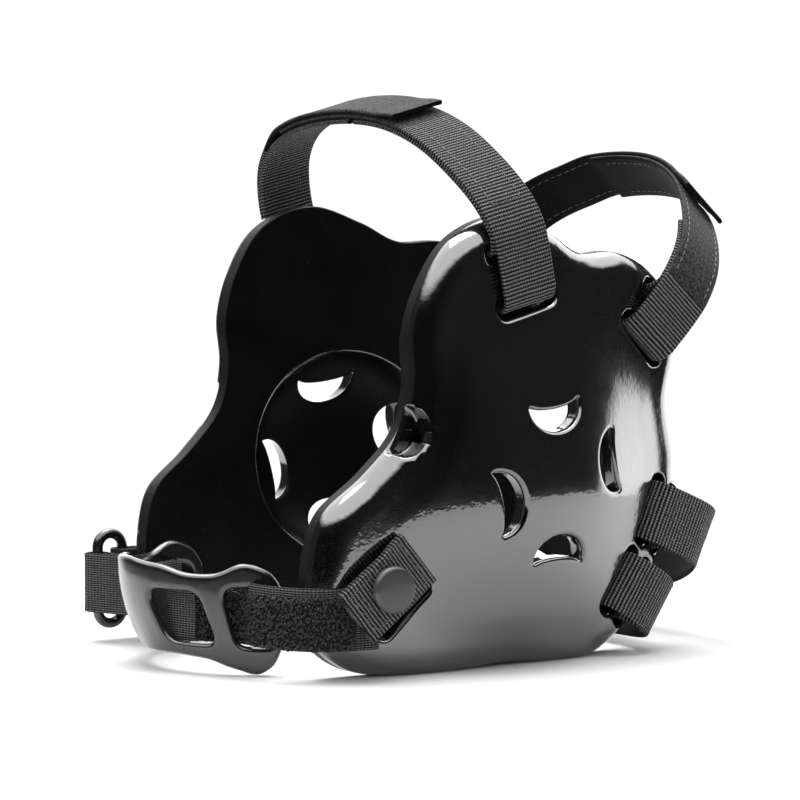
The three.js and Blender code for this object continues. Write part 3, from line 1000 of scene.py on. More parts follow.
@dataclass(frozen=True)
class Stitching:
    """Lockstitch thread laid along seam lines."""

    stitch: float = 2.3
    space: float = 0.7
    thread: float = 0.42

    def tree(self, material: Material) -> Tree:
        """Build the node tree that turns lines into stitches.

        Args:
            material: the thread's finish.

        Returns:
            The tree, with inputs for the stitch length, its pitch and the thread's diameter.
        """
        made, start = started_tree("stitch_run", ("Stitch", "Pitch", "Thread"))
        given = start.outputs
        seams = out_of(made, "GeometryNodeMeshToCurve", {"Mesh": given["Geometry"]})
        pitch = {"Curve": seams, "Length": given["Pitch"]}
        spaced = out_of(made, "GeometryNodeResampleCurve", pitch, mode="LENGTH")
        half = worked(made, "MULTIPLY", given["Thread"], 0.5)
        bead = {"Segments": 6, "Rings": 4, "Radius": half}
        longer = worked(made, "DIVIDE", given["Stitch"], given["Thread"])
        size = out_of(made, "ShaderNodeCombineXYZ", {0: 1.0, 1: 1.0, 2: longer})
        round_bead = out_of(made, "GeometryNodeMeshUVSphere", bead)
        long_bead = out_of(made, "GeometryNodeTransform", {"Geometry": round_bead, "Scale": size})
        along = out_of(made, "GeometryNodeInputTangent")
        aimed = out_of(made, "FunctionNodeAlignRotationToVector", {"Vector": along}, axis="Z")
        laid = {"Points": spaced, "Instance": long_bead, "Rotation": aimed}
        return finished_tree(made, out_of(made, "GeometryNodeInstanceOnPoints", laid), material)

    def sewn(self, name: str, seams: Sequence[np.ndarray], material: Material) -> Thing:
        """Lay stitches along seams.

        Args:
            name: the piece's name.
            seams: lines in millimetres, one row a point.
            material: the thread's finish.

        Returns:
            The stitches as one plain mesh.
        """
        places, sides = [], []
        for seam in seams:
            start = sum(len(part) for part in places)
            places.append((seam + np.array(MIDDLE_SHIFT)) * MM)
            sides += [(start + at, start + at + 1) for at in range(len(seam) - 1)]
        mesh = bpy.data.meshes.new(name)
        mesh.from_pydata(np.vstack(places).tolist(), sides, [])
        source = linked(name + "_lines", mesh)
        sizes = {"Stitch": self.stitch, "Pitch": self.stitch + self.space, "Thread": self.thread}
        return grow(source, self.tree(material), {key: sizes[key] * MM for key in sizes}, name)


@dataclass(frozen=True)
class LoopPile:
    """The loop face of hook-and-loop tape: small, well-used loops of yarn leaning every way."""

    density: float = 1.25
    loop: float = 1.05
    yarn: float = 0.56
    seed: int = 7
    bend: float = 200.0
    lie: float = 62.0

    def tree(self, material: Material) -> Tree:
        """Build the node tree that grows loops from a face.

        Args:
            material: the yarn's finish.

        Returns:
            The tree, with inputs for density, loop size, yarn and seed.
        """
        made, start = started_tree("loop_pile", ("Density", "Loop", "Yarn"), ("Seed",))
        given = start.outputs
        seed = {"Seed": given["Seed"]}
        ground = {"Mesh": given["Geometry"], "Density": given["Density"], **seed}
        rooted = add_node(made, "GeometryNodeDistributePointsOnFaces", ground).outputs
        bow = {"Resolution": 6, "Radius": given["Loop"], "Sweep Angle": math.radians(self.bend)}
        arc = out_of(made, "GeometryNodeCurveArc", bow)
        half = {"Resolution": 4, "Radius": worked(made, "MULTIPLY", given["Yarn"], 0.5)}
        ring = out_of(made, "GeometryNodeCurvePrimitiveCircle", half)
        tube = out_of(made, "GeometryNodeCurveToMesh", {"Curve": arc, "Profile Curve": ring})
        smooth = out_of(made, "GeometryNodeSetShadeSmooth", {"Geometry": tube})
        lain = {"Rotation": (math.radians(self.lie), 0.0, 0.0), "Scale": (0.5, 0.8, 1.0)}
        tall = out_of(made, "GeometryNodeTransform", {"Geometry": smooth, **lain})
        lean = {0: (0.0, 0.0, 0.0), 1: (0.5, 0.5, math.tau), **seed}
        spin = out_of(made, "FunctionNodeRandomValue", lean, data_type="FLOAT_VECTOR")
        turn = {0: rooted["Rotation"], 1: out_of(made, "FunctionNodeEulerToRotation", {0: spin})}
        aimed = out_of(made, "FunctionNodeRotateRotation", turn, rotation_space="LOCAL")
        size = add_node(made, "FunctionNodeRandomValue", {2: 0.75, 3: 1.3, **seed}).outputs[1]
        laid = {"Points": rooted[0], "Instance": tall, "Rotation": aimed, "Scale": size}
        return finished_tree(made, out_of(made, "GeometryNodeInstanceOnPoints", laid), material)

    def grown(self, name: str, ground: Thing, material: Material) -> Thing:
        """Grow loops from a face, which is dropped.

        Args:
            name: the piece's name.
            ground: the face that the loops stand on.
            material: the yarn's finish.

        Returns:
            The loops as one plain mesh.
        """
        sizes = {
            "Density": self.density / MM**2,
            "Loop": self.loop * MM,
            "Yarn": self.yarn * MM,
            "Seed": self.seed,
        }
        return grow(ground, self.tree(material), sizes, name)


# Guards


@dataclass
class GuardForm:
    """Shape of the left guard: its outline, its thickness and where it stands."""

    length: float = 150.0
    height: float = 146.0
    gap: float = 104.8
    bow: float = 0.0013
    toe: float = -0.081
    lean: float = 0.037
    lean_level: float = 0.62
    edge: float = 4.5
    rim: float = 12.0
    roll: float = 9.0
    dome: float = 13.0
    dome_length: float = 124.0
    dome_height: float = 136.0
    floor_flat: float = 0.5
    ear_rear: float = 3.0
    ear_up: float = 60.0
    outline: tuple[tuple[float, float], ...] = (
        (-0.520, 0.160), (-0.514, 0.290), (-0.486, 0.365), (-0.393, 0.445), (-0.313, 0.535),
        (-0.287, 0.635), (-0.292, 0.740), (-0.262, 0.845), (-0.190, 0.950), (-0.060, 0.998),
        (0.070, 0.957), (0.160, 0.912), (0.270, 0.910), (0.370, 0.872), (0.450, 0.795),
        (0.466, 0.690), (0.444, 0.570), (0.470, 0.440), (0.466, 0.330), (0.415, 0.200),
        (0.330, 0.075), (0.215, 0.004), (0.070, 0.000), (-0.025, 0.009), (-0.130, 0.002),
        (-0.290, 0.000), (-0.425, 0.022), (-0.497, 0.075),
    )  # fmt: skip

    def __post_init__(self) -> None:
        """Draw the outline once."""
        shares = np.array(self.outline)
        corners = shares * [self.length, self.height] - [0, self.floor_flat]
        self.loop = anticlockwise(closed_curve(corners, 1.1))

    def inner(self, flat: np.ndarray) -> np.ndarray:
        """Place the inner face across the head.

        Args:
            flat: points, rear and up.

        Returns:
            One distance from the middle a point.
        """
        rear, up = flat[..., 0], flat[..., 1]
        bowed = self.gap / 2 - self.bow * rear**2 + self.toe * rear
        return bowed + self.lean * (up - self.height * self.lean_level)

    def over(self, flat: np.ndarray) -> np.ndarray:
        """Measure the outer face's height over the inner one.

        Args:
            flat: points, rear and up.

        Returns:
            One height a point.
        """
        inset = np.where(inside(flat, self.loop), gap_to(flat, self.loop), 0)
        share = np.clip(inset / self.roll, 0, 1)
        rolled = self.edge + (self.rim - self.edge) * np.sqrt(1 - (1 - share) ** 2)
        across = (flat[:, 0] - self.ear_rear) / (self.dome_length / 2)
        rise = (flat[:, 1] - self.ear_up) / (self.dome_height / 2)
        crown = self.dome * np.clip(1 - across**2 - rise**2, 0, 1) ** 2
        return rolled + crown * smoothstep(inset / (2 * self.roll))

    def outer(self, flat: np.ndarray) -> np.ndarray:
        """Place the outer face across the head at flat points."""
        return self.inner(flat) + self.over(flat)

    def lifted(self, flat: np.ndarray, out: np.ndarray | float) -> np.ndarray:
        """Turn flat points and their place across the head into points in space."""
        across = np.broadcast_to(out, (len(flat),))
        return np.stack([across, flat[:, 0], np.maximum(flat[:, 1], 0.0)], 1)


@dataclass(frozen=True)
class Route:
    """Where one strap leaves the guards and how it arches between them."""

    rear: float
    up: float
    lean: float
    pair_gap: float
    tail_run: float
    left_end: float
    right_end: float
    nap_from: float
    tape_from: float
    sag: float
    arch: tuple[tuple[float, float], ...]

    def slots(self) -> tuple[np.ndarray, np.ndarray]:
        """Find the middles of the two slots.

        Returns:
            The slot that the arch leaves, then the one that the tail leaves.
        """
        turn = math.radians(self.lean)
        first = np.array([self.rear, self.up])
        return first, first + np.array([math.sin(turn), math.cos(turn)]) * self.pair_gap


ROUTES: dict[str, Route] = {
    "front_strap": Route(
        -3, 118, -14, 18, 42, -48, 26, 200, 180, 0,
        ((-69, 16), (-71, 28), (-67, 42), (-57, 52), (-42, 58), (-22, 61.5), (0, 62.5),
         (20, 60.5), (38, 54.5), (53, 45), (64, 35), (69.5, 25), (70, 15)),
    ),
    "crown_strap": Route(
        49, 104, 43, 14, 26, -30, 38, 82, 70, 0,
        ((-62, 13), (-65, 28), (-63, 43), (-54, 57), (-36, 66.5), (-14, 70), (8, 68.5),
         (27, 61.5), (43, 50), (55, 37), (61, 24), (62, 13)),
    ),
    "upper_back_strap": Route(
        54, 47, 114, 9.5, 12, -22, 22, 999, 24, 9,
        ((-59, 11), (-58, 20), (-51, 28), (-38, 32.5), (-20, 34.5), (0, 35), (20, 34.5),
         (38, 32.5), (51, 28), (58, 20), (59, 11)),
    ),
    "lower_back_strap": Route(
        40, 25, 123, 9, 7, -22, 22, 999, 24, 0,
        ((-62, 11), (-58, 19), (-48, 23.3), (-20, 24), (0, 24), (20, 24), (48, 23.3), (58, 19),
         (62, 11)),
    ),
}  # fmt: skip


SEAMS: dict[str, tuple[tuple[Face, tuple[tuple[float, float], ...]], ...]] = {
    "front_strap": ((Face.OUTER, ((197, -5.5), (154, -5.5), (154, 5.5), (197, 5.5))),),
    "crown_strap": (
        (Face.INNER, ((70, -7.2), (185, -7.2))),
        (Face.INNER, ((70, 7.2), (185, 7.2))),
        (Face.OUTER, ((86, -7.6), (132, -7.6))),
        (Face.OUTER, ((86, 7.6), (132, 7.6))),
    ),
    "upper_back_strap": (
        (Face.OUTER, ((46, -6.5), (58, -6.5), (58, 6.5), (46, 6.5), (46, -6.5))),
    ),
    "lower_back_strap": (
        (Face.OUTER, ((42, -6.2), (51, -6.2), (51, 6.2), (42, 6.2), (42, -6.2))),
    ),
}


def rounded_box(length: float, width: float, corner: float, step: float = 0.8) -> np.ndarray:
    """Draw a box with rounded corners about zero.

    Args:
        length: its size along the first axis.
        width: its size along the second one.
        corner: radius of its corners.
        step: distance between the points of its outline.

    Returns:
        The outline.
    """
    corner = min(corner, length / 2 - 0.01, width / 2 - 0.01)
    points = []
    for number, (side, rise) in enumerate(((1, 1), (-1, 1), (-1, -1), (1, -1))):
        middle = np.array([side * (length / 2 - corner), rise * (width / 2 - corner)])
        for turn in np.linspace(0, 90, 7):
            angle = math.radians(number * 90 + turn)
            points.append(middle + corner * np.array([math.cos(angle), math.sin(angle)]))
    loop = resampled(np.array(points), step, closed=True)
    return loop * (1 + 0.01 * (1 - (loop[:, ::-1] / [width / 2, length / 2]) ** 2))


@dataclass
class EarGuards:
    """The two moulded foam guards with their ear cavities, vents and strap slots."""

    form: GuardForm
    finishes: Finishes
    opening: float = 70.0
    depth: float = 18.0
    fullness: float = 2.5
    vent_rear: float = 6.6
    vent_up: float = 60.0
    vent_ring: float = 49.0
    vent_angles: tuple[float, ...] = (97, 193, 270, 13)
    vent_chord: float = 21.0
    vent_depth: float = 9.6
    vent_horn: float = 2.0
    slot: tuple[float, float] = (24.0, 7.0)
    tunnel_floor: float = 4.0
    tunnel_rise: float = 2.2
    ease: float = 0.8
    chin_slot: tuple[float, float, float, float, float] = (-49, 23, 45, 24, 9)
    vent_lip: float = 1.5
    slot_lip: float = 1.3
    ear_lip: float = 1.1
    inner_lip: float = 0.8
    front_vent: tuple[float, float, float] = (-46.0, 78.0, 16.5)
    front_vent_rise: Pair = (4.6, 16.0)
    front_vent_depth: float = 6.4
    brim_rows: tuple[float, ...] = (0.1, 0.35, 0.8, 1.4, 2.2, 3.1, 4.2, 5.4, 6.8, 8.4, 10.2)
    hole_rows: tuple[float, ...] = (0.12, 0.4, 0.8, 1.25, 1.8, 2.6)
    pitch: float = 1.7
    chamfer: float = 0.35
    skin: int = 0
    edge: int = 1
    lining: int = 2

    def crescents(self) -> list[np.ndarray]:
        """Draw the four vents round the ear.

        Returns:
            Their outlines.
        """
        half = self.vent_chord / 2
        deep, horn = self.vent_depth, self.vent_horn
        share = np.linspace(0, 1, 24, endpoint=False)[:, None]
        chord, turn = np.cos(share * math.pi), np.sin(share * math.pi)
        inner = np.hstack([-half * chord, horn * (1 - 1.25 * turn)])
        outer = np.hstack([half * chord, horn - deep * turn**0.8])
        shape = softened(resampled(np.vstack([inner, outer]), 0.8, closed=True), 3)
        loops = []
        for angle in self.vent_angles:
            turn = math.radians(angle)
            middle = np.array([self.vent_rear, self.vent_up]) + self.vent_ring / 2 * np.array(
                [math.cos(turn), math.sin(turn)]
            )
            loops.append(anticlockwise(turned(shape, angle - 90) + middle))
        return loops

    def slot_loops(self) -> list[tuple[np.ndarray, list[np.ndarray], float]]:
        """Draw the pockets that the straps go through.

        Returns:
            For each, the hollow's outline, its openings and its floor.
        """
        pockets = []
        for route in ROUTES.values():
            first, second = route.slots()
            shape = turned(rounded_box(*self.slot, 2.9), -route.lean)
            floor = float(self.form.inner(first[None])[0]) + self.tunnel_floor
            tall = route.pair_gap + self.slot[1] + self.ease
            hollow = turned(rounded_box(self.slot[0] + self.ease, tall, 3.3), -route.lean)
            middle = (first + second) / 2
            openings = [anticlockwise(shape + first), anticlockwise(shape + second)]
            pockets.append((anticlockwise(hollow + middle), openings, floor))
        rear, up, turn, length, width = self.chin_slot
        middle = np.array([rear, up])
        shape = anticlockwise(turned(rounded_box(length, width, 2.9), turn) + middle)
        wider = turned(rounded_box(length + self.ease, width + self.ease, 3.3), turn)
        hollow = anticlockwise(wider + middle)
        floor = float(self.form.inner(middle[None])[0]) + self.tunnel_floor
        pockets.append((hollow, [shape], floor))
        return pockets

    def bowl(self, flat: np.ndarray) -> np.ndarray:
        """Measure the depth of the ear cavity.

        Args:
            flat: points, rear and up.

        Returns:
            One depth a point.
        """
        away = np.hypot(flat[:, 0] - self.form.ear_rear, flat[:, 1] - self.form.ear_up)
        share = np.clip(away / (self.opening / 2), 0, 1)
        return self.depth * (1 - share**self.fullness) ** (1 / self.fullness)

    def lip(self, gap: np.ndarray, radius: float) -> np.ndarray:
        """Measure how far an edge's round drops.

        Args:
            gap: distances from the edge.
            radius: radius of the round.

        Returns:
            One drop a point.
        """
        short = np.clip(radius - gap, 0, radius)
        return radius - np.sqrt(radius**2 - short**2)

    def circle(self, radius: float) -> np.ndarray:
        """Draw a ring about the ear.

        Args:
            radius: the ring's radius.

        Returns:
            Its points, rear and up.
        """
        angle = np.linspace(0, math.tau, 168, endpoint=False)
        middle = [self.form.ear_rear, self.form.ear_up]
        return np.stack([np.cos(angle), np.sin(angle)], 1) * radius + middle

    def drawn(self) -> MeshDraft:
        """Draw up the left guard.

        Returns:
            Its corners and faces.
        """
        form, draft = self.form, MeshDraft()
        vents, pockets = self.crescents(), self.slot_loops()
        openings = [loop for _, loops, _ in pockets for loop in loops]
        flat, triangles = filled_region(
            form.loop, [*vents, *openings], self.brim_rows, self.hole_rows, self.pitch
        )
        draft.add(self.skin_at(flat, vents, openings), triangles, self.skin)
        self.draw_side(draft, self.skin_at(form.loop, vents, openings))
        self.draw_bowl(draft, vents)
        for hollow, loops, floor in pockets:
            self.draw_pocket(draft, hollow, loops, floor)
        return draft

    def skin_at(
        self, flat: np.ndarray, vents: Sequence[np.ndarray], openings: Sequence[np.ndarray]
    ) -> np.ndarray:
        """Lay flat points on the outer face, which rounds into its holes.

        Args:
            flat: the points, rear and up.
            vents: outlines of the vents.
            openings: outlines of the slots.

        Returns:
            Points in space, in millimetres.
        """
        out = self.form.outer(flat)
        for loops, radius in ((vents, self.vent_lip), (openings, self.slot_lip)):
            for loop in loops:
                out = out - self.lip(gap_to(flat, loop), radius)
        return self.form.lifted(flat, out)

    def draw_side(self, draft: MeshDraft, brim: np.ndarray) -> None:
        """Draw the flat cut edge below the brim and the inner face round the ear's opening.

        Args:
            draft: what it is added to.
            brim: the edge of the outer face.
        """
        form = self.form
        base = form.inner(form.loop)
        tangent = np.roll(form.loop, -1, 0) - np.roll(form.loop, 1, 0)
        tangent = tangent / np.linalg.norm(tangent, axis=1, keepdims=True)
        bottom = form.loop - np.stack([tangent[:, 1], -tangent[:, 0]], 1) * self.chamfer
        side = [form.lifted(form.loop, base + rise) for rise in (3.2, 1.9, self.chamfer)]
        draft.strip([brim, *side, form.lifted(bottom, form.inner(bottom))], self.edge)
        mouth = self.circle(self.opening / 2 + self.ear_lip)
        flat, triangles = filled_region(bottom, [mouth], [1.5, 4.0], [0.8, 2.0], 4.0)
        draft.add(form.lifted(flat, form.inner(flat)), triangles, self.lining)

    def draw_bowl(self, draft: MeshDraft, vents: Sequence[np.ndarray]) -> None:
        """Draw the ear cavity and the walls of the vents that open in it.

        Args:
            draft: what they are added to.
            vents: outlines of the vents.
        """
        form = self.form
        half, floor_radius = self.opening / 2, self.opening / 2 - 1.8
        rim = []
        for turn in np.radians([0, 22, 45, 67, 90]):
            ring = self.circle(half + self.ear_lip * (1 - math.sin(turn)))
            rim.append(form.lifted(ring, form.inner(ring) + self.ear_lip * (1 - math.cos(turn))))
        draft.strip(rim, self.skin)
        rows = [rim[-1]]
        deepest = float(self.bowl(self.circle(floor_radius))[0])
        for depth in np.linspace(1.4, deepest, 8)[:-1]:
            share = (1 - (depth / self.depth) ** self.fullness) ** (1 / self.fullness)
            ring = self.circle(half * share)
            rows.append(form.lifted(ring, form.inner(ring) + depth))
        last = self.circle(floor_radius)
        rows.append(form.lifted(last, form.inner(last) + self.bowl(last)))
        draft.strip(rows, self.lining)
        flat, triangles = filled_region(last, vents, [0.8, 1.8, 3.0], [0.15, 0.5, 1.0, 1.7], 1.9)
        rise = self.bowl(flat)
        for loop in vents:
            rise = rise + self.lip(gap_to(flat, loop), self.inner_lip)
        draft.add(form.lifted(flat, form.inner(flat) + rise), triangles, self.lining)
        for loop in vents:
            low = form.inner(loop) + self.bowl(loop) + self.inner_lip
            high = form.inner(loop) + form.over(loop) - self.vent_lip
            steps = [low + (high - low) * share for share in np.linspace(0, 1, 7)]
            draft.strip([form.lifted(loop, step) for step in steps], self.skin)

    def draw_pocket(
        self, draft: MeshDraft, hollow: np.ndarray, loops: Sequence[np.ndarray], floor: float
    ) -> None:
        """Draw a strap pocket: its openings, its roof under the bridge, its walls and floor.

        Args:
            draft: what they are added to.
            hollow: outline of the hollow under the bridge.
            loops: outlines of its openings.
            floor: place of its floor across the head.
        """
        form = self.form
        roof = floor + self.tunnel_rise
        for loop in loops:
            high = form.outer(loop) - self.slot_lip
            steps = [roof + (high - roof) * share for share in np.linspace(0, 1, 5)]
            draft.strip([form.lifted(loop, step) for step in steps], self.skin)
        flat, triangles = flat_region(hollow, loops, np.zeros((0, 2)))
        draft.add(form.lifted(flat, roof), triangles, self.skin)
        draft.strip([form.lifted(hollow, roof), form.lifted(hollow, floor)], self.skin)
        flat, triangles = flat_region(hollow, [], np.zeros((0, 2)))
        draft.add(form.lifted(flat, floor), triangles, self.skin)

    def side_vent(self) -> Thing:
        """Draw the hollow of the vent in the front edge: a half-round mouth and a narrow channel.

        Returns:
            A shape to cut away.
        """
        rear, up, length = self.front_vent
        start, end = self.front_vent_rise
        loop = rounded_box(length, end - start, 1.2, 1.0) + [0, (start + end) / 2]
        mouth_at = np.array([rear, up])
        inward = np.array([self.form.ear_rear, self.form.ear_up]) - mouth_at
        inward = inward / np.linalg.norm(inward)
        base = float(self.form.inner(mouth_at[None])[0])
        rows = [(-8, 1, 1)]
        for run in (0, 0.3, 0.5, 0.65, 0.8, 0.9, 0.97):
            rows.append((self.front_vent_depth * run, math.sqrt(1 - run**2), 1))
        rows += [(self.front_vent_depth + 0.1, 0.22, 0.3), (17, 0.22, 0.3)]
        rings = []
        for depth, size, rising in rows:
            wide, rise = loop[:, :1] * size, start + (loop[:, 1] - start) * rising
            flat = mouth_at + inward * depth + wide * [inward[1], -inward[0]]
            rings.append(np.column_stack([base + rise, flat]))
        draft = MeshDraft()
        draft.strip(rings, 0)
        for ring in (rings[0], rings[-1]):
            draft.add(ring, [tuple(range(len(loop)))], 0)
        return draft.object("side_vent_cutter", [self.finishes.skin], 30)

    def build(self) -> list[Thing]:
        """Build both guards.

        Returns:
            The left guard and the right one.
        """
        finishes = self.finishes
        dressed = [finishes.skin, finishes.cut_edge, finishes.inner]
        left = self.drawn().object("foam_guard_left_uncut", dressed, 42)
        cutter = self.side_vent()
        cut = left.modifiers.new("side_vent", "BOOLEAN")
        cut.object, cut.operation, cut.solver = cutter, "DIFFERENCE", "EXACT"
        cut.material_mode = "TRANSFER"
        left = plain_copy(left, "foam_guard_left")
        bpy.data.objects.remove(cutter)
        mesh = left.data.copy()
        mesh.name = "foam_guard_right"
        places = np.zeros(len(mesh.vertices) * 3)
        mesh.vertices.foreach_get("co", places)
        places = places.reshape(-1, 3) * [-1, 1, 1]
        mesh.vertices.foreach_set("co", places.ravel())
        mesh.flip_normals()
        right = linked("foam_guard_right", mesh)
        for guard, node in ((left, "ear_guard_left"), (right, "ear_guard_right")):
            settled(guard, "guard_foam", node)
        return [left, right]


# Webbing


@dataclass
class Band:
    """A length of webbing along a flat path that stands square to its plane."""

    path: np.ndarray
    place: Place
    width: float = 20.0
    thickness: float = 1.4

    def __post_init__(self) -> None:
        """Measure the run along the path."""
        steps = np.linalg.norm(np.diff(self.path, axis=0), axis=1)
        self.run = np.concatenate([[0], np.cumsum(steps)])

    def at(self, run: np.ndarray, across: np.ndarray, off: np.ndarray | float) -> np.ndarray:
        """Find points on the band.

        Args:
            run: distance along it.
            across: distance from its middle line.
            off: distance from its middle layer, positive on the outer face.

        Returns:
            Points in space, in millimetres.
        """
        side = beside(self.path, 1.0) - self.path
        flat = np.stack([np.interp(run, self.run, self.path[:, axis]) for axis in (0, 1)], 1)
        out = np.stack([np.interp(run, self.run, side[:, axis]) for axis in (0, 1)], 1)
        moved = flat + out * np.reshape(off, (-1, 1))
        return self.place(np.column_stack([moved, across]))

    def section(self) -> tuple[np.ndarray, np.ndarray]:
        """Draw the band cut across, with a selvedge a little thicker than the rest.

        Returns:
            Distances from its middle line, and off its middle layer.
        """
        edge = np.array([1, 0.992, 0.965, 0.91, 0.7, 0.35])
        thick = np.array([0, 0.6, 0.95, 1.12, 1, 1])
        across = self.width / 2 * np.concatenate([-edge, [0], edge[::-1]])
        off = self.thickness / 2 * np.concatenate([thick, [1], thick[::-1]])
        return np.concatenate([across, across[-2:0:-1]]), np.concatenate([off, -off[-2:0:-1]])

    def draft(self, finish: Callable[[float, float, Face], int]) -> MeshDraft:
        """Draw up the band.

        Args:
            finish: material number at a distance along the band and across it, on a face.

        Returns:
            Its corners and faces.
        """
        across, off = self.section()
        rows, ring = len(self.path), len(across)
        run = np.repeat(self.run, ring)
        wide = np.tile(across, rows)
        points = self.at(run, wide, np.tile(off, rows))
        faces, numbers = [], []
        for row in range(rows - 1):
            middle = float(self.run[row] + self.run[row + 1]) / 2
            for at in range(ring):
                after = (at + 1) % ring
                low, high = row * ring, (row + 1) * ring
                faces.append((low + at, low + after, high + after, high + at))
                face = Face.OUTER if at < ring // 2 else Face.INNER
                numbers.append(finish(middle, float(across[at] + across[after]) / 2, face))
        faces += [tuple(range(ring)), tuple(range((rows - 1) * ring, rows * ring))]
        numbers += [numbers[0], numbers[-1]]
        made = MeshDraft()
        made.add(points, faces, numbers, np.column_stack([run, wide]))
        return made

    def seam(self, corners: Sequence[tuple[float, float]], face: Face = Face.OUTER) -> np.ndarray:
        """Lay a seam line on a face of the band.

        Args:
            corners: run and distance from the middle line of each corner.
            face: the face that shows it.

        Returns:
            The line in space.
        """
        line = resampled(np.array(corners, float), 0.6)
        return self.at(line[:, 0], line[:, 1], face.value * (self.thickness / 2 + 0.05))

    def patch(self, start: float, end: float, low: float, high: float, off: float) -> MeshDraft:
        """Draw a thin face just off the band, for what grows on it.

        Args:
            start: where it starts along the band.
            end: where it ends.
            low: its edge on one side of the middle line.
            high: its edge on the other side.
            off: distance from the middle layer.

        Returns:
            Its corners and faces.
        """
        runs, wides = np.arange(start, end, 1.0), np.linspace(low, high, 8)
        run, wide = np.repeat(runs, len(wides)), np.tile(wides, len(runs))
        count = len(wides)
        faces = [
            (r * count + c, r * count + c + 1, (r + 1) * count + c + 1, (r + 1) * count + c)
            for r in range(len(runs) - 1)
            for c in range(count - 1)
        ]
        made = MeshDraft()
        made.add(self.at(run, wide, off), faces, 0)
        return made


@dataclass
class HeadStraps:
    """The four straps over and behind the head, each in two halves that lap."""

    form: GuardForm
    finishes: Finishes
    thickness: float = 1.4
    clearance: float = 0.4
    tunnel_floor: float = 4.0
    lap_ease: float = 14.0
    lap_lift: float = 1.8

    @property
    def layer(self) -> float:
        """Distance between two layers that lie on each other."""
        return self.thickness + self.clearance

    def seat(self, middle: np.ndarray, lean: float) -> float:
        """Find the guard's highest place under a band at a slot.

        Args:
            middle: the slot's middle, rear and up.
            lean: the strap's lean in degrees.

        Returns:
            The place across the head.
        """
        turn = math.radians(lean)
        shares = np.array([-0.5, -0.25, 0, 0.25, 0.5])[:, None] * 20
        flat = middle + shares * np.array([math.cos(turn), -math.sin(turn)])
        return float(self.form.outer(flat).max())

    def half(self, route: Route, side: int) -> Band:
        """Route one half of a strap from its tail's tip, through the guard and up the arch.

        Args:
            route: the strap's route.
            side: 1 for the left half, -1 for the right one.

        Returns:
            The band.
        """
        first, second = route.slots()
        base = float(self.form.inner(first[None])[0])
        first_top, second_top = self.seat(first, route.lean), self.seat(second, route.lean)
        deep = base + self.tunnel_floor + self.clearance + self.thickness / 2
        foot = first_top + self.clearance + self.thickness
        arch = np.array(route.arch) * [side, 1]
        rising = arch[::-1] if side > 0 else arch
        whole = spline([(foot, 2.5), *rising, (-foot, 2.5)], 3)
        tail = beside(whole, self.layer)
        start = route.pair_gap + 3
        tail = tail[(tail[:, 1] > start) & (tail[:, 1] < start + route.tail_run) & (tail[:, 0] > 0)]
        gap = route.pair_gap
        under = [
            (second_top - 1, gap + 0.6), (deep + 2.6, gap + 0.4), (deep, gap - 2.2),
            (deep, 2.2), (deep + 2.6, -0.4), (first_top - 1, -0.7),
        ]  # fmt: skip
        free = route.left_end if side > 0 else -route.right_end
        top = whole[whole[:, 0] > free]
        if side < 0:
            ease = (self.lap_ease - route.left_end - top[:, 0]) / self.lap_ease
            lifted = self.lap_lift * smoothstep((free + 14 - top[:, 0]) / 14)
            top = beside(top, -self.layer * smoothstep(ease) - lifted)
        path = spline([*tail[::-1], *under, *top], 0.9) * [side, 1]
        if side > 0:
            path = path[::-1]
        turn = math.radians(route.lean)
        out = np.array([0, math.sin(turn), math.cos(turn)])
        wide = np.array([0, math.cos(turn), -math.sin(turn)])
        origin = np.array([0, route.rear, route.up])

        def place(flat: np.ndarray) -> np.ndarray:
            """Stand the strap's plane in space."""
            hung = route.sag * np.clip(1 - (flat[:, :1] / 52) ** 2, 0, 1) * [0, 0, 1]
            return origin + flat[:, :1] * [1, 0, 0] + flat[:, 1:2] * out + flat[:, 2:] * wide - hung

        return Band(path, place, thickness=self.thickness)

    def build(self) -> list[Thing]:
        """Build the eight halves and their stitches.

        Returns:
            The new pieces.
        """
        finishes, made = self.finishes, []
        dressed = [finishes.ribbed, finishes.brushed, finishes.smooth]
        for name, route in ROUTES.items():
            seams = []
            for ending, side in (("left", 1), ("right", -1)):
                band = self.half(route, side)
                length = float(band.run[-1])
                foot = length if side > 0 else 0.0

                def finish(
                    run: float, wide: float, face: Face, foot: float = foot, route: Route = route
                ) -> int:
                    """Choose ribs near the guard, then brushed tape, or smooth tape inside.

                    Args:
                        run: distance along the band.
                        wide: distance from its middle line.
                        face: the face.
                        foot: where the band leaves the guard.
                        route: the strap's route.

                    Returns:
                        Number of the material.
                    """
                    if face is Face.INNER:
                        return 2 if abs(run - foot) > route.tape_from else 0
                    return 1 if abs(run - foot) > route.nap_from else 0

                strap = band.draft(finish).object(f"{name}_{ending}_webbing", dressed, 40)
                made.append(settled(strap, "webbing", f"{name}_{ending}"))
                for face, corners in SEAMS[name]:
                    runs = [(abs(foot - away), wide) for away, wide in corners]
                    seams.append(band.seam(runs, face))
            stitches = Stitching().sewn(f"{name}_stitches", seams, finishes.thread)
            made.append(settled(stitches, "webbing"))
        return made


# Chin pieces


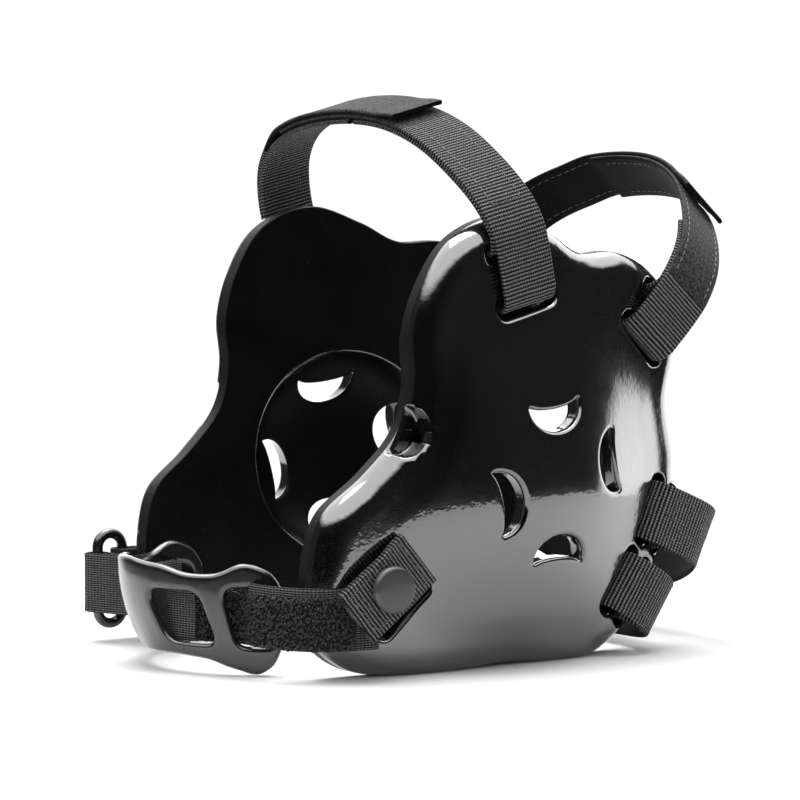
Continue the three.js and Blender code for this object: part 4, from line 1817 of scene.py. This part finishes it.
@dataclass
class ChinCup:
    """The moulded rubber cup: a deep U with four windows and full round edges."""

    finishes: Finishes
    width: float = 80.0
    depth: float = 42.0
    height: float = 37.0
    taper: float = 13.0
    wall: float = 3.5
    yaw: float = -11.0
    back: tuple[float, float] = (0.0, -68.0)
    reach: float = 88.0
    edges: tuple[tuple[float, float, float], ...] = (
        (0, 36, 5), (28, 35, 5.5), (44, 32.5, 5), (56, 32.5, 2.2), (70, 36.5, 0), (81, 34, 2.5),
        (88, 28, 9),
    )  # fmt: skip
    windows: tuple[tuple[float, float, float, float, float, float], ...] = (
        (22, 51, 10.0, 26.8, 5, 3.2),
        (62, 82, 9.5, 28.0, 3, 2.0),
    )

    def at(self, around: np.ndarray, up: np.ndarray, inward: np.ndarray | float) -> np.ndarray:
        """Find points on the cup.

        Args:
            around: angle from its middle, in degrees.
            up: height.
            inward: distance in from its outer face.

        Returns:
            Points in space, in millimetres.
        """
        taper = self.taper * (1 - np.clip(up / self.height, 0, 1)) ** 2.5
        turn = np.radians(around)
        across = (self.width / 2 - inward) * np.sin(turn)
        ahead = -(self.depth - taper - inward) * np.cos(turn)
        yaw = math.radians(self.yaw)
        rear = self.back[1] + across * math.sin(yaw) + ahead * math.cos(yaw)
        side = self.back[0] + across * math.cos(yaw) - ahead * math.sin(yaw)
        return np.stack([side, rear, np.broadcast_to(up, side.shape)], -1)

    def edge_at(self, around: np.ndarray, column: int) -> np.ndarray:
        """Find the height of an edge.

        Args:
            around: angles from the cup's middle.
            column: 1 for the top edge, 2 for the bottom one.

        Returns:
            One height an angle.
        """
        table = np.array(self.edges)
        side = np.minimum(np.abs(around), self.reach)
        after = np.clip(np.searchsorted(table[:, 0], side), 1, len(table) - 1)
        low, high = table[after - 1], table[after]
        share = (side - low[:, 0]) / (high[:, 0] - low[:, 0])
        return low[:, column] + (high[:, column] - low[:, column]) * smoothstep(share)

    def build(self) -> list[Thing]:
        """Build the cup.

        Returns:
            The new piece.
        """
        angles = np.linspace(-self.reach, self.reach, 353)
        rim = self.at(angles, np.full_like(angles, 20.0), self.wall / 2)
        run = np.concatenate([[0], np.cumsum(np.linalg.norm(np.diff(rim, axis=0), axis=1))])
        top = np.column_stack([run, self.edge_at(angles, 1)])
        bottom = np.column_stack([run, self.edge_at(angles, 2)])
        edge = softened(resampled(np.vstack([top, bottom[::-1]]), 0.9, closed=True), 14)
        edge = anticlockwise(edge)
        windows = []
        for start, end, low, high, slant, corner in self.windows:
            for side in (-1, 1):
                shape = rounded_box(end - start, high - low, corner, 0.7)
                slanted = shape[:, 0] - slant * shape[:, 1] / (high - low)
                around = side * ((start + end) / 2 + slanted)
                up = (low + high) / 2 + shape[:, 1]
                loop = np.column_stack([np.interp(around, angles, run), up])
                windows.append(anticlockwise(softened(resampled(loop, 0.8, closed=True), 10)))
        rows = [0.08, 0.3, 0.65, 1.1, 1.7, 2.5]
        flat, triangles = filled_region(edge, windows, rows, rows, 1.5)
        gap = gap_to(flat, edge)
        for window in windows:
            gap = np.minimum(gap, gap_to(flat, window))
        radius = self.wall / 2
        short = np.clip(1 - gap / (radius * 0.9), 0, 1)
        rounding = radius * (1 - np.sqrt(1 - short**2))
        around = np.interp(flat[:, 0], run, angles)
        draft = MeshDraft()
        draft.add(self.at(around, flat[:, 1], rounding), triangles, 0)
        draft.add(self.at(around, flat[:, 1], self.wall - rounding), triangles, 0)
        cup = draft.object("chin_cup_rubber", [self.finishes.rubber], 60)
        return [settled(cup, "cup_rubber", "chin_cup")]


@dataclass
class ChinStrap:
    """The chin strap: loop tape behind the cup, folded round the ring, and its ring strap."""

    cup: ChinCup
    finishes: Finishes
    thickness: float = 1.4
    clearance: float = 0.4
    up: float = 20.0
    width: float = 20.0
    near: tuple[tuple[float, float], ...] = (
        (63.6, -58), (62.8, -67), (61.5, -73), (58.3, -78.3), (53.5, -82.3), (46, -85.6),
        (38.5, -87.3), (32.8, -86.9),
    )  # fmt: skip
    far: tuple[tuple[float, float], ...] = (
        (-41, -73.4), (-44.6, -77.4), (-49.2, -80.6), (-55, -82.8), (-61.5, -83.7),
    )  # fmt: skip
    ring: tuple[float, float, float] = (-66.0, -82.0, 21.0)
    rod: float = 3.6
    ring_width: float = 13.0
    ring_height: float = 34.0
    tape_from: float = 8.0
    selvedge: float = 7.0
    pile_off: float = 0.72

    def place(self, flat: np.ndarray) -> np.ndarray:
        """Stand the chin strap's plane in space."""
        return np.column_stack([flat[:, 0], flat[:, 1], flat[:, 2] + self.up])

    def along_cup(self, start: float, end: float, inward: float) -> np.ndarray:
        """Follow the cup's inside at the strap's lower edge."""
        around = np.linspace(start, end, 7)
        return self.cup.at(around, np.full_like(around, self.up - self.width / 2), inward)[:, :2]

    def band(self) -> Band:
        """Route the chin strap.

        Returns:
            The band.
        """
        layer = self.thickness + self.clearance
        behind = self.cup.wall + self.clearance + self.thickness / 2
        far = np.array(self.far)
        main = spline([*self.near, *self.along_cup(58, -65, behind + layer), *far], 3)
        rod = np.array([self.ring[0], self.ring[1] - (self.ring_width - self.rod) / 2])
        turn = self.rod / 2 + 2 * self.clearance + self.thickness / 2
        angles = np.radians([90, 135, 180, 225, 270])
        fold = rod + turn * np.stack([np.cos(angles), np.sin(angles)], 1)
        returned = beside(far[::-1], -layer - 0.3)[1:]
        tail = self.along_cup(-62, 38, behind)
        return Band(spline([*main, *fold, *returned, *tail], 0.9), self.place)

    def build(self) -> list[Thing]:
        """Build the strap, its pile, the ring and the ring strap.

        Returns:
            The new pieces.
        """
        finishes = self.finishes
        band = self.band()
        dressed = [finishes.corded, finishes.pile_base]
        main_end = float(band.run[np.argmin(band.path[:, 0])])

        def finish(run: float, wide: float, face: Face) -> int:
            """Loop tape on the outer face below a corded selvedge, corded on the inner face."""
            return 1 if face is Face.OUTER and run > self.tape_from and wide < self.selvedge else 0

        strap = band.draft(finish).object("chin_strap_webbing", dressed, 40)
        made = [settled(strap, "loop_webbing", "chin_strap")]
        pile = (self.tape_from + 1, main_end - 6, -9.6, self.selvedge, self.pile_off)
        ground = band.patch(*pile).object("pile_ground", [], 180)
        pile = LoopPile().grown("chin_strap_pile", ground, finishes.pile)
        made.append(settled(pile, "loop_webbing"))
        made += self.build_ring()
        return made

    def build_ring(self) -> list[Thing]:
        """Build the strap ring and the short strap that holds it.

        Returns:
            The ring, the strap and its pile.
        """
        radius = (self.ring_width - self.rod) / 2
        straight = (self.ring_height - self.ring_width) / 2
        middle = []
        for angle in np.linspace(0, math.tau, 72, endpoint=False):
            rise = radius * math.sin(angle)
            lift = math.copysign(straight, rise) if abs(rise) > 1e-6 else 0.0
            middle.append((radius * math.cos(angle), rise + lift))
        line = resampled(np.array(middle), 1.0, closed=True)
        following = np.roll(line, -1, 0) - np.roll(line, 1, 0)
        following = following / np.linalg.norm(following, axis=1, keepdims=True)
        out = np.stack([following[:, 1], -following[:, 0]], 1)
        rings = []
        for angle in np.linspace(0, math.tau, 20, endpoint=False):
            off = line + out * (self.rod / 2 * math.cos(angle))
            side = np.full(len(line), self.rod / 2 * math.sin(angle))
            rings.append(np.column_stack([side, off]) + np.array(self.ring))
        rings.append(rings[0])
        draft = MeshDraft()
        draft.strip(rings, 0)
        ring = draft.object("strap_ring_acetal", [self.finishes.acetal], 60)
        rod = np.array([self.ring[0], self.ring[1] + radius])
        turn = self.rod / 2 + 2 * self.clearance + self.thickness / 2
        angles = np.radians([180, 225, 270, 315, 360])
        fold = rod + turn * np.stack([np.cos(angles), np.sin(angles)], 1)
        path = [(-65.8, -52), (-66.8, -60), (-68.6, -68), *fold, (-63.4, -68), (-64.2, -60)]
        band = Band(spline(path, 0.8), lambda flat: flat + [0, 0, self.ring[2]])
        dressed = [self.finishes.corded, self.finishes.pile_base]
        strap = band.draft(lambda run, wide, face: 1).object("ring_strap_webbing", dressed, 40)
        ground = band.patch(1, 24, -9.2, 9.2, -self.pile_off).object("ring_pile_ground", [], 180)
        ground.data.flip_normals()
        pile = LoopPile(seed=11).grown("ring_strap_pile", ground, self.finishes.pile)
        return [
            settled(ring, "ring_plastic", "strap_ring"),
            settled(strap, "webbing", "ring_strap"),
            settled(pile, "webbing"),
        ]


@dataclass
class SnapTab:
    """The doubled webbing tab on the left guard, with its snap cap."""

    form: GuardForm
    finishes: Finishes
    rear: float = -56.5
    up: float = 29.5
    turn: float = 219.0
    length: float = 29.0
    width: float = 20.0
    thickness: float = 2.8
    layer: float = 1.8
    clearance: float = 0.4
    cap: float = 15.0
    lift: float = 0.5
    seams: tuple[float, float, float, float] = (2.5, 26.5, 23.5, 7.4)

    def at(self, along: np.ndarray, across: np.ndarray, rise: np.ndarray) -> np.ndarray:
        """Find points on the tab.

        Args:
            along: distance along it from its middle.
            across: distance from its middle line.
            rise: height over its underside.

        Returns:
            Points in space, in millimetres.
        """
        angle = math.radians(self.turn)
        rear = self.rear + along * math.cos(angle) - across * math.sin(angle)
        up = self.up + along * math.sin(angle) + across * math.cos(angle)
        flat = np.column_stack([rear, up])
        over = smoothstep((along + self.length / 2) / (self.length * 0.4))
        height = np.maximum(self.form.over(flat), self.form.rim)
        lift = self.clearance + self.lift + (self.layer + 0.5) * over + rise
        return np.column_stack([self.form.inner(flat) + height + lift, rear, up])

    def build(self) -> list[Thing]:
        """Build the tab, its stitches and the cap.

        Returns:
            The new pieces.
        """
        path = np.column_stack([np.linspace(-self.length / 2, self.length / 2, 40), np.zeros(40)])
        middle = self.thickness / 2

        def place(flat: np.ndarray) -> np.ndarray:
            """Lay the tab on the guard."""
            return self.at(flat[:, 0], flat[:, 2], flat[:, 1] + middle)

        band = Band(path, place, thickness=self.thickness)
        webbing = [self.finishes.ribbed]
        tab = band.draft(lambda run, wide, face: 0).object("snap_tab_webbing", webbing, 40)
        radius = self.cap / 2
        profile = [
            (radius - 0.8, 0), (radius - 0.2, 0.3), (radius, 0.9), (radius, 1.7),
            (radius - 0.15, 2.2), (radius - 0.5, 2.65), (radius - 1.0, 2.9), (radius - 1.8, 3.0),
            (radius * 0.3, 3.1),
        ]  # fmt: skip
        seat = self.at(np.zeros(1), np.zeros(1), np.array([self.thickness + self.clearance]))[0]
        seat = seat + [0.5, 0, 0]
        angles = np.linspace(0, math.tau, 64, endpoint=False)
        rows = []
        for out, rise in profile:
            ring = [np.full(64, rise), np.cos(angles) * out, np.sin(angles) * out]
            rows.append(np.column_stack(ring) + seat)
        draft = MeshDraft()
        draft.strip(rows, 0)
        draft.add(rows[0], [tuple(range(64))], 0)
        draft.add(rows[-1], [tuple(range(64))], 0)
        cap = draft.object("snap_cap_painted", [self.finishes.snap], 50)
        start, end, bar, half = self.seams
        border = [(start, -half), (end, -half), (end, half), (start, half), (start, -half)]
        seams = [band.seam(border), band.seam([(bar, -half), (bar, half)])]
        stitches = Stitching().sewn("snap_tab_stitches", seams, self.finishes.thread)
        return [
            settled(tab, "webbing", "snap_tab"),
            settled(stitches, "webbing"),
            settled(cap, "snap_plastic", "snap_cap"),
        ]


# Studio


@dataclass
class Studio:
    """Pale floor, soft lights and the camera."""

    azimuth: float = 57.0
    elevation: float = 4.5
    distance: float = 1400.0
    lens: float = 189.0
    floor_radius: float = 290.0
    floor_rear: float = 60.0
    dark_way: Pair = (81.0, 14.0)
    rear_way: tuple[float, float, float] = (0.09, 0.99, 0.0)
    dark_level: float = 0.014
    side_levels: Pair = (0.05, 2.7)
    roof_level: float = 3.1
    soft_level: float = 0.48
    camera_level: float = 1.05

    def way(self, azimuth: float, elevation: float) -> np.ndarray:
        """Find a direction from the headgear.

        Args:
            azimuth: its angle from the front towards the left, in degrees.
            elevation: its angle over the floor, in degrees.

        Returns:
            A vector one long.
        """
        around, rise = math.radians(azimuth), math.radians(elevation)
        flat = np.array([math.sin(around), -math.cos(around), 0]) * math.cos(rise)
        return flat + [0, 0, math.sin(rise)]

    def aimed(self, name: str, data: bpy.types.ID, place: np.ndarray, target: np.ndarray) -> Thing:
        """Put a camera or light in place, looking at a point.

        Args:
            name: its name.
            data: the camera or light.
            place: its place in millimetres.
            target: the point, in millimetres.

        Returns:
            The new object.
        """
        thing = linked(name, data)
        thing.location = Vector(place * MM)
        thing.rotation_euler = Vector((target - place) * MM).to_track_quat("-Z", "Y").to_euler()
        return thing

    def softbox(
        self, name: str, place: Sequence[float], size: Sequence[float], power: float
    ) -> Thing:
        """Hang a soft light.

        Args:
            name: its name.
            place: its place in millimetres.
            size: its width and height in millimetres.
            power: its power in watts.

        Returns:
            The light.
        """
        light = bpy.data.lights.new(name, "AREA")
        light.shape = "RECTANGLE"
        light.size, light.size_y = size[0] * MM, size[1] * MM
        light.energy = power
        return self.aimed(name, light, np.array(place, float), np.array([0, 0, 60.0]))

    def build(self) -> None:
        """Build the camera, the floor, the lights and the surroundings."""
        toward, right = self.way(self.azimuth, self.elevation), self.way(self.azimuth + 90, 0)
        target = right * -7 + np.array([0, MIDDLE_SHIFT[1], 82])
        camera = bpy.data.cameras.new("camera")
        camera.lens, camera.sensor_width = self.lens, 36.0
        camera.clip_start, camera.clip_end = 0.05, 20.0
        place = target + toward * self.distance
        bpy.context.scene.camera = self.aimed("camera", camera, place, target)
        angles = np.linspace(0, math.tau, 96, endpoint=False)
        radius = self.floor_radius * MM
        mesh = bpy.data.meshes.new("studio_floor")
        rear = self.floor_rear * MM
        ring = [(math.cos(a) * radius, math.sin(a) * radius + rear, 0.0) for a in angles]
        mesh.from_pydata(ring, [], [tuple(range(96))])
        mesh.materials.append(Moulded("white_paper", "fafafa", 0.9, coat=0.0).made())
        floor = linked("studio_floor", mesh)
        floor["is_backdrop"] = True
        over = toward * [-200, -200, 0] + [0, 0, 1050]
        self.softbox("softbox_over", over, (1000, 900), 17)
        beside_camera = right * -900 + toward * 500 + [0, 0, 500]
        left = self.softbox("softbox_left", beside_camera, (500, 700), 4)
        left.visible_glossy = False
        self.surround()
        bpy.context.scene.view_settings.view_transform = "Standard"

    def surround(self) -> None:
        """Build the surroundings: a tent, dark on the camera's side, bright behind and above."""
        world = bpy.data.worlds.new("studio")
        bpy.context.scene.world = world
        world.use_nodes = True
        tree = world.node_tree
        tree.nodes.clear()
        way = add_node(tree, "ShaderNodeTexCoord").outputs["Generated"]

        def facing(wanted: Sequence[float]) -> Socket:
            """Measure how far a view turns towards a direction.

            Args:
                wanted: the direction.

            Returns:
                Cosine of the angle between them.
            """
            ways = {0: way, 1: tuple(wanted)}
            return add_node(
                tree, "ShaderNodeVectorMath", ways, operation="DOT_PRODUCT"
            ).outputs["Value"]

        shaded = spread(tree, facing(self.way(*self.dark_way)), (0.06, -0.04), (self.dark_level, 1))
        paler = spread(tree, facing(self.rear_way), (-0.3, 0.4), self.side_levels)
        rise = add_node(tree, "ShaderNodeSeparateXYZ", {0: way}).outputs[2]
        roof = spread(tree, rise, (0.47, 0.60), (0, self.roof_level))
        tent = worked(tree, "MAXIMUM", worked(tree, "MULTIPLY", shaded, paler), roof)
        seen = add_node(tree, "ShaderNodeLightPath").outputs
        soft = {0: seen["Is Glossy Ray"], 2: self.soft_level, 3: tent}
        behind = {0: seen["Is Camera Ray"], 2: out_of(tree, "ShaderNodeMix", soft)}
        behind[3] = self.camera_level
        lit = {"Color": srgb("ffffff"), "Strength": out_of(tree, "ShaderNodeMix", behind)}
        sky = out_of(tree, "ShaderNodeBackground", lit)
        add_node(tree, "ShaderNodeOutputWorld", {"Surface": sky})


def main() -> None:
    """Build the headgear over its frame."""
    logging.basicConfig(level=logging.INFO, format="%(name)s %(message)s")
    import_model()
    cad_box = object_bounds()
    form, finishes = GuardForm(), Finishes()
    Studio().build()
    cup = ChinCup(finishes)
    parts = [
        EarGuards(form, finishes),
        HeadStraps(form, finishes),
        cup,
        ChinStrap(cup, finishes),
        SnapTab(form, finishes),
    ]
    for part in parts:
        made = part.build()
        LOG.info("%s: %d pieces", type(part).__name__, len(made))
    boxes = {"cad": cad_box, "visual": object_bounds()}
    sizes = {name: [list(corner) for corner in box] for name, box in boxes.items()}


if __name__ == "__main__":
    main()
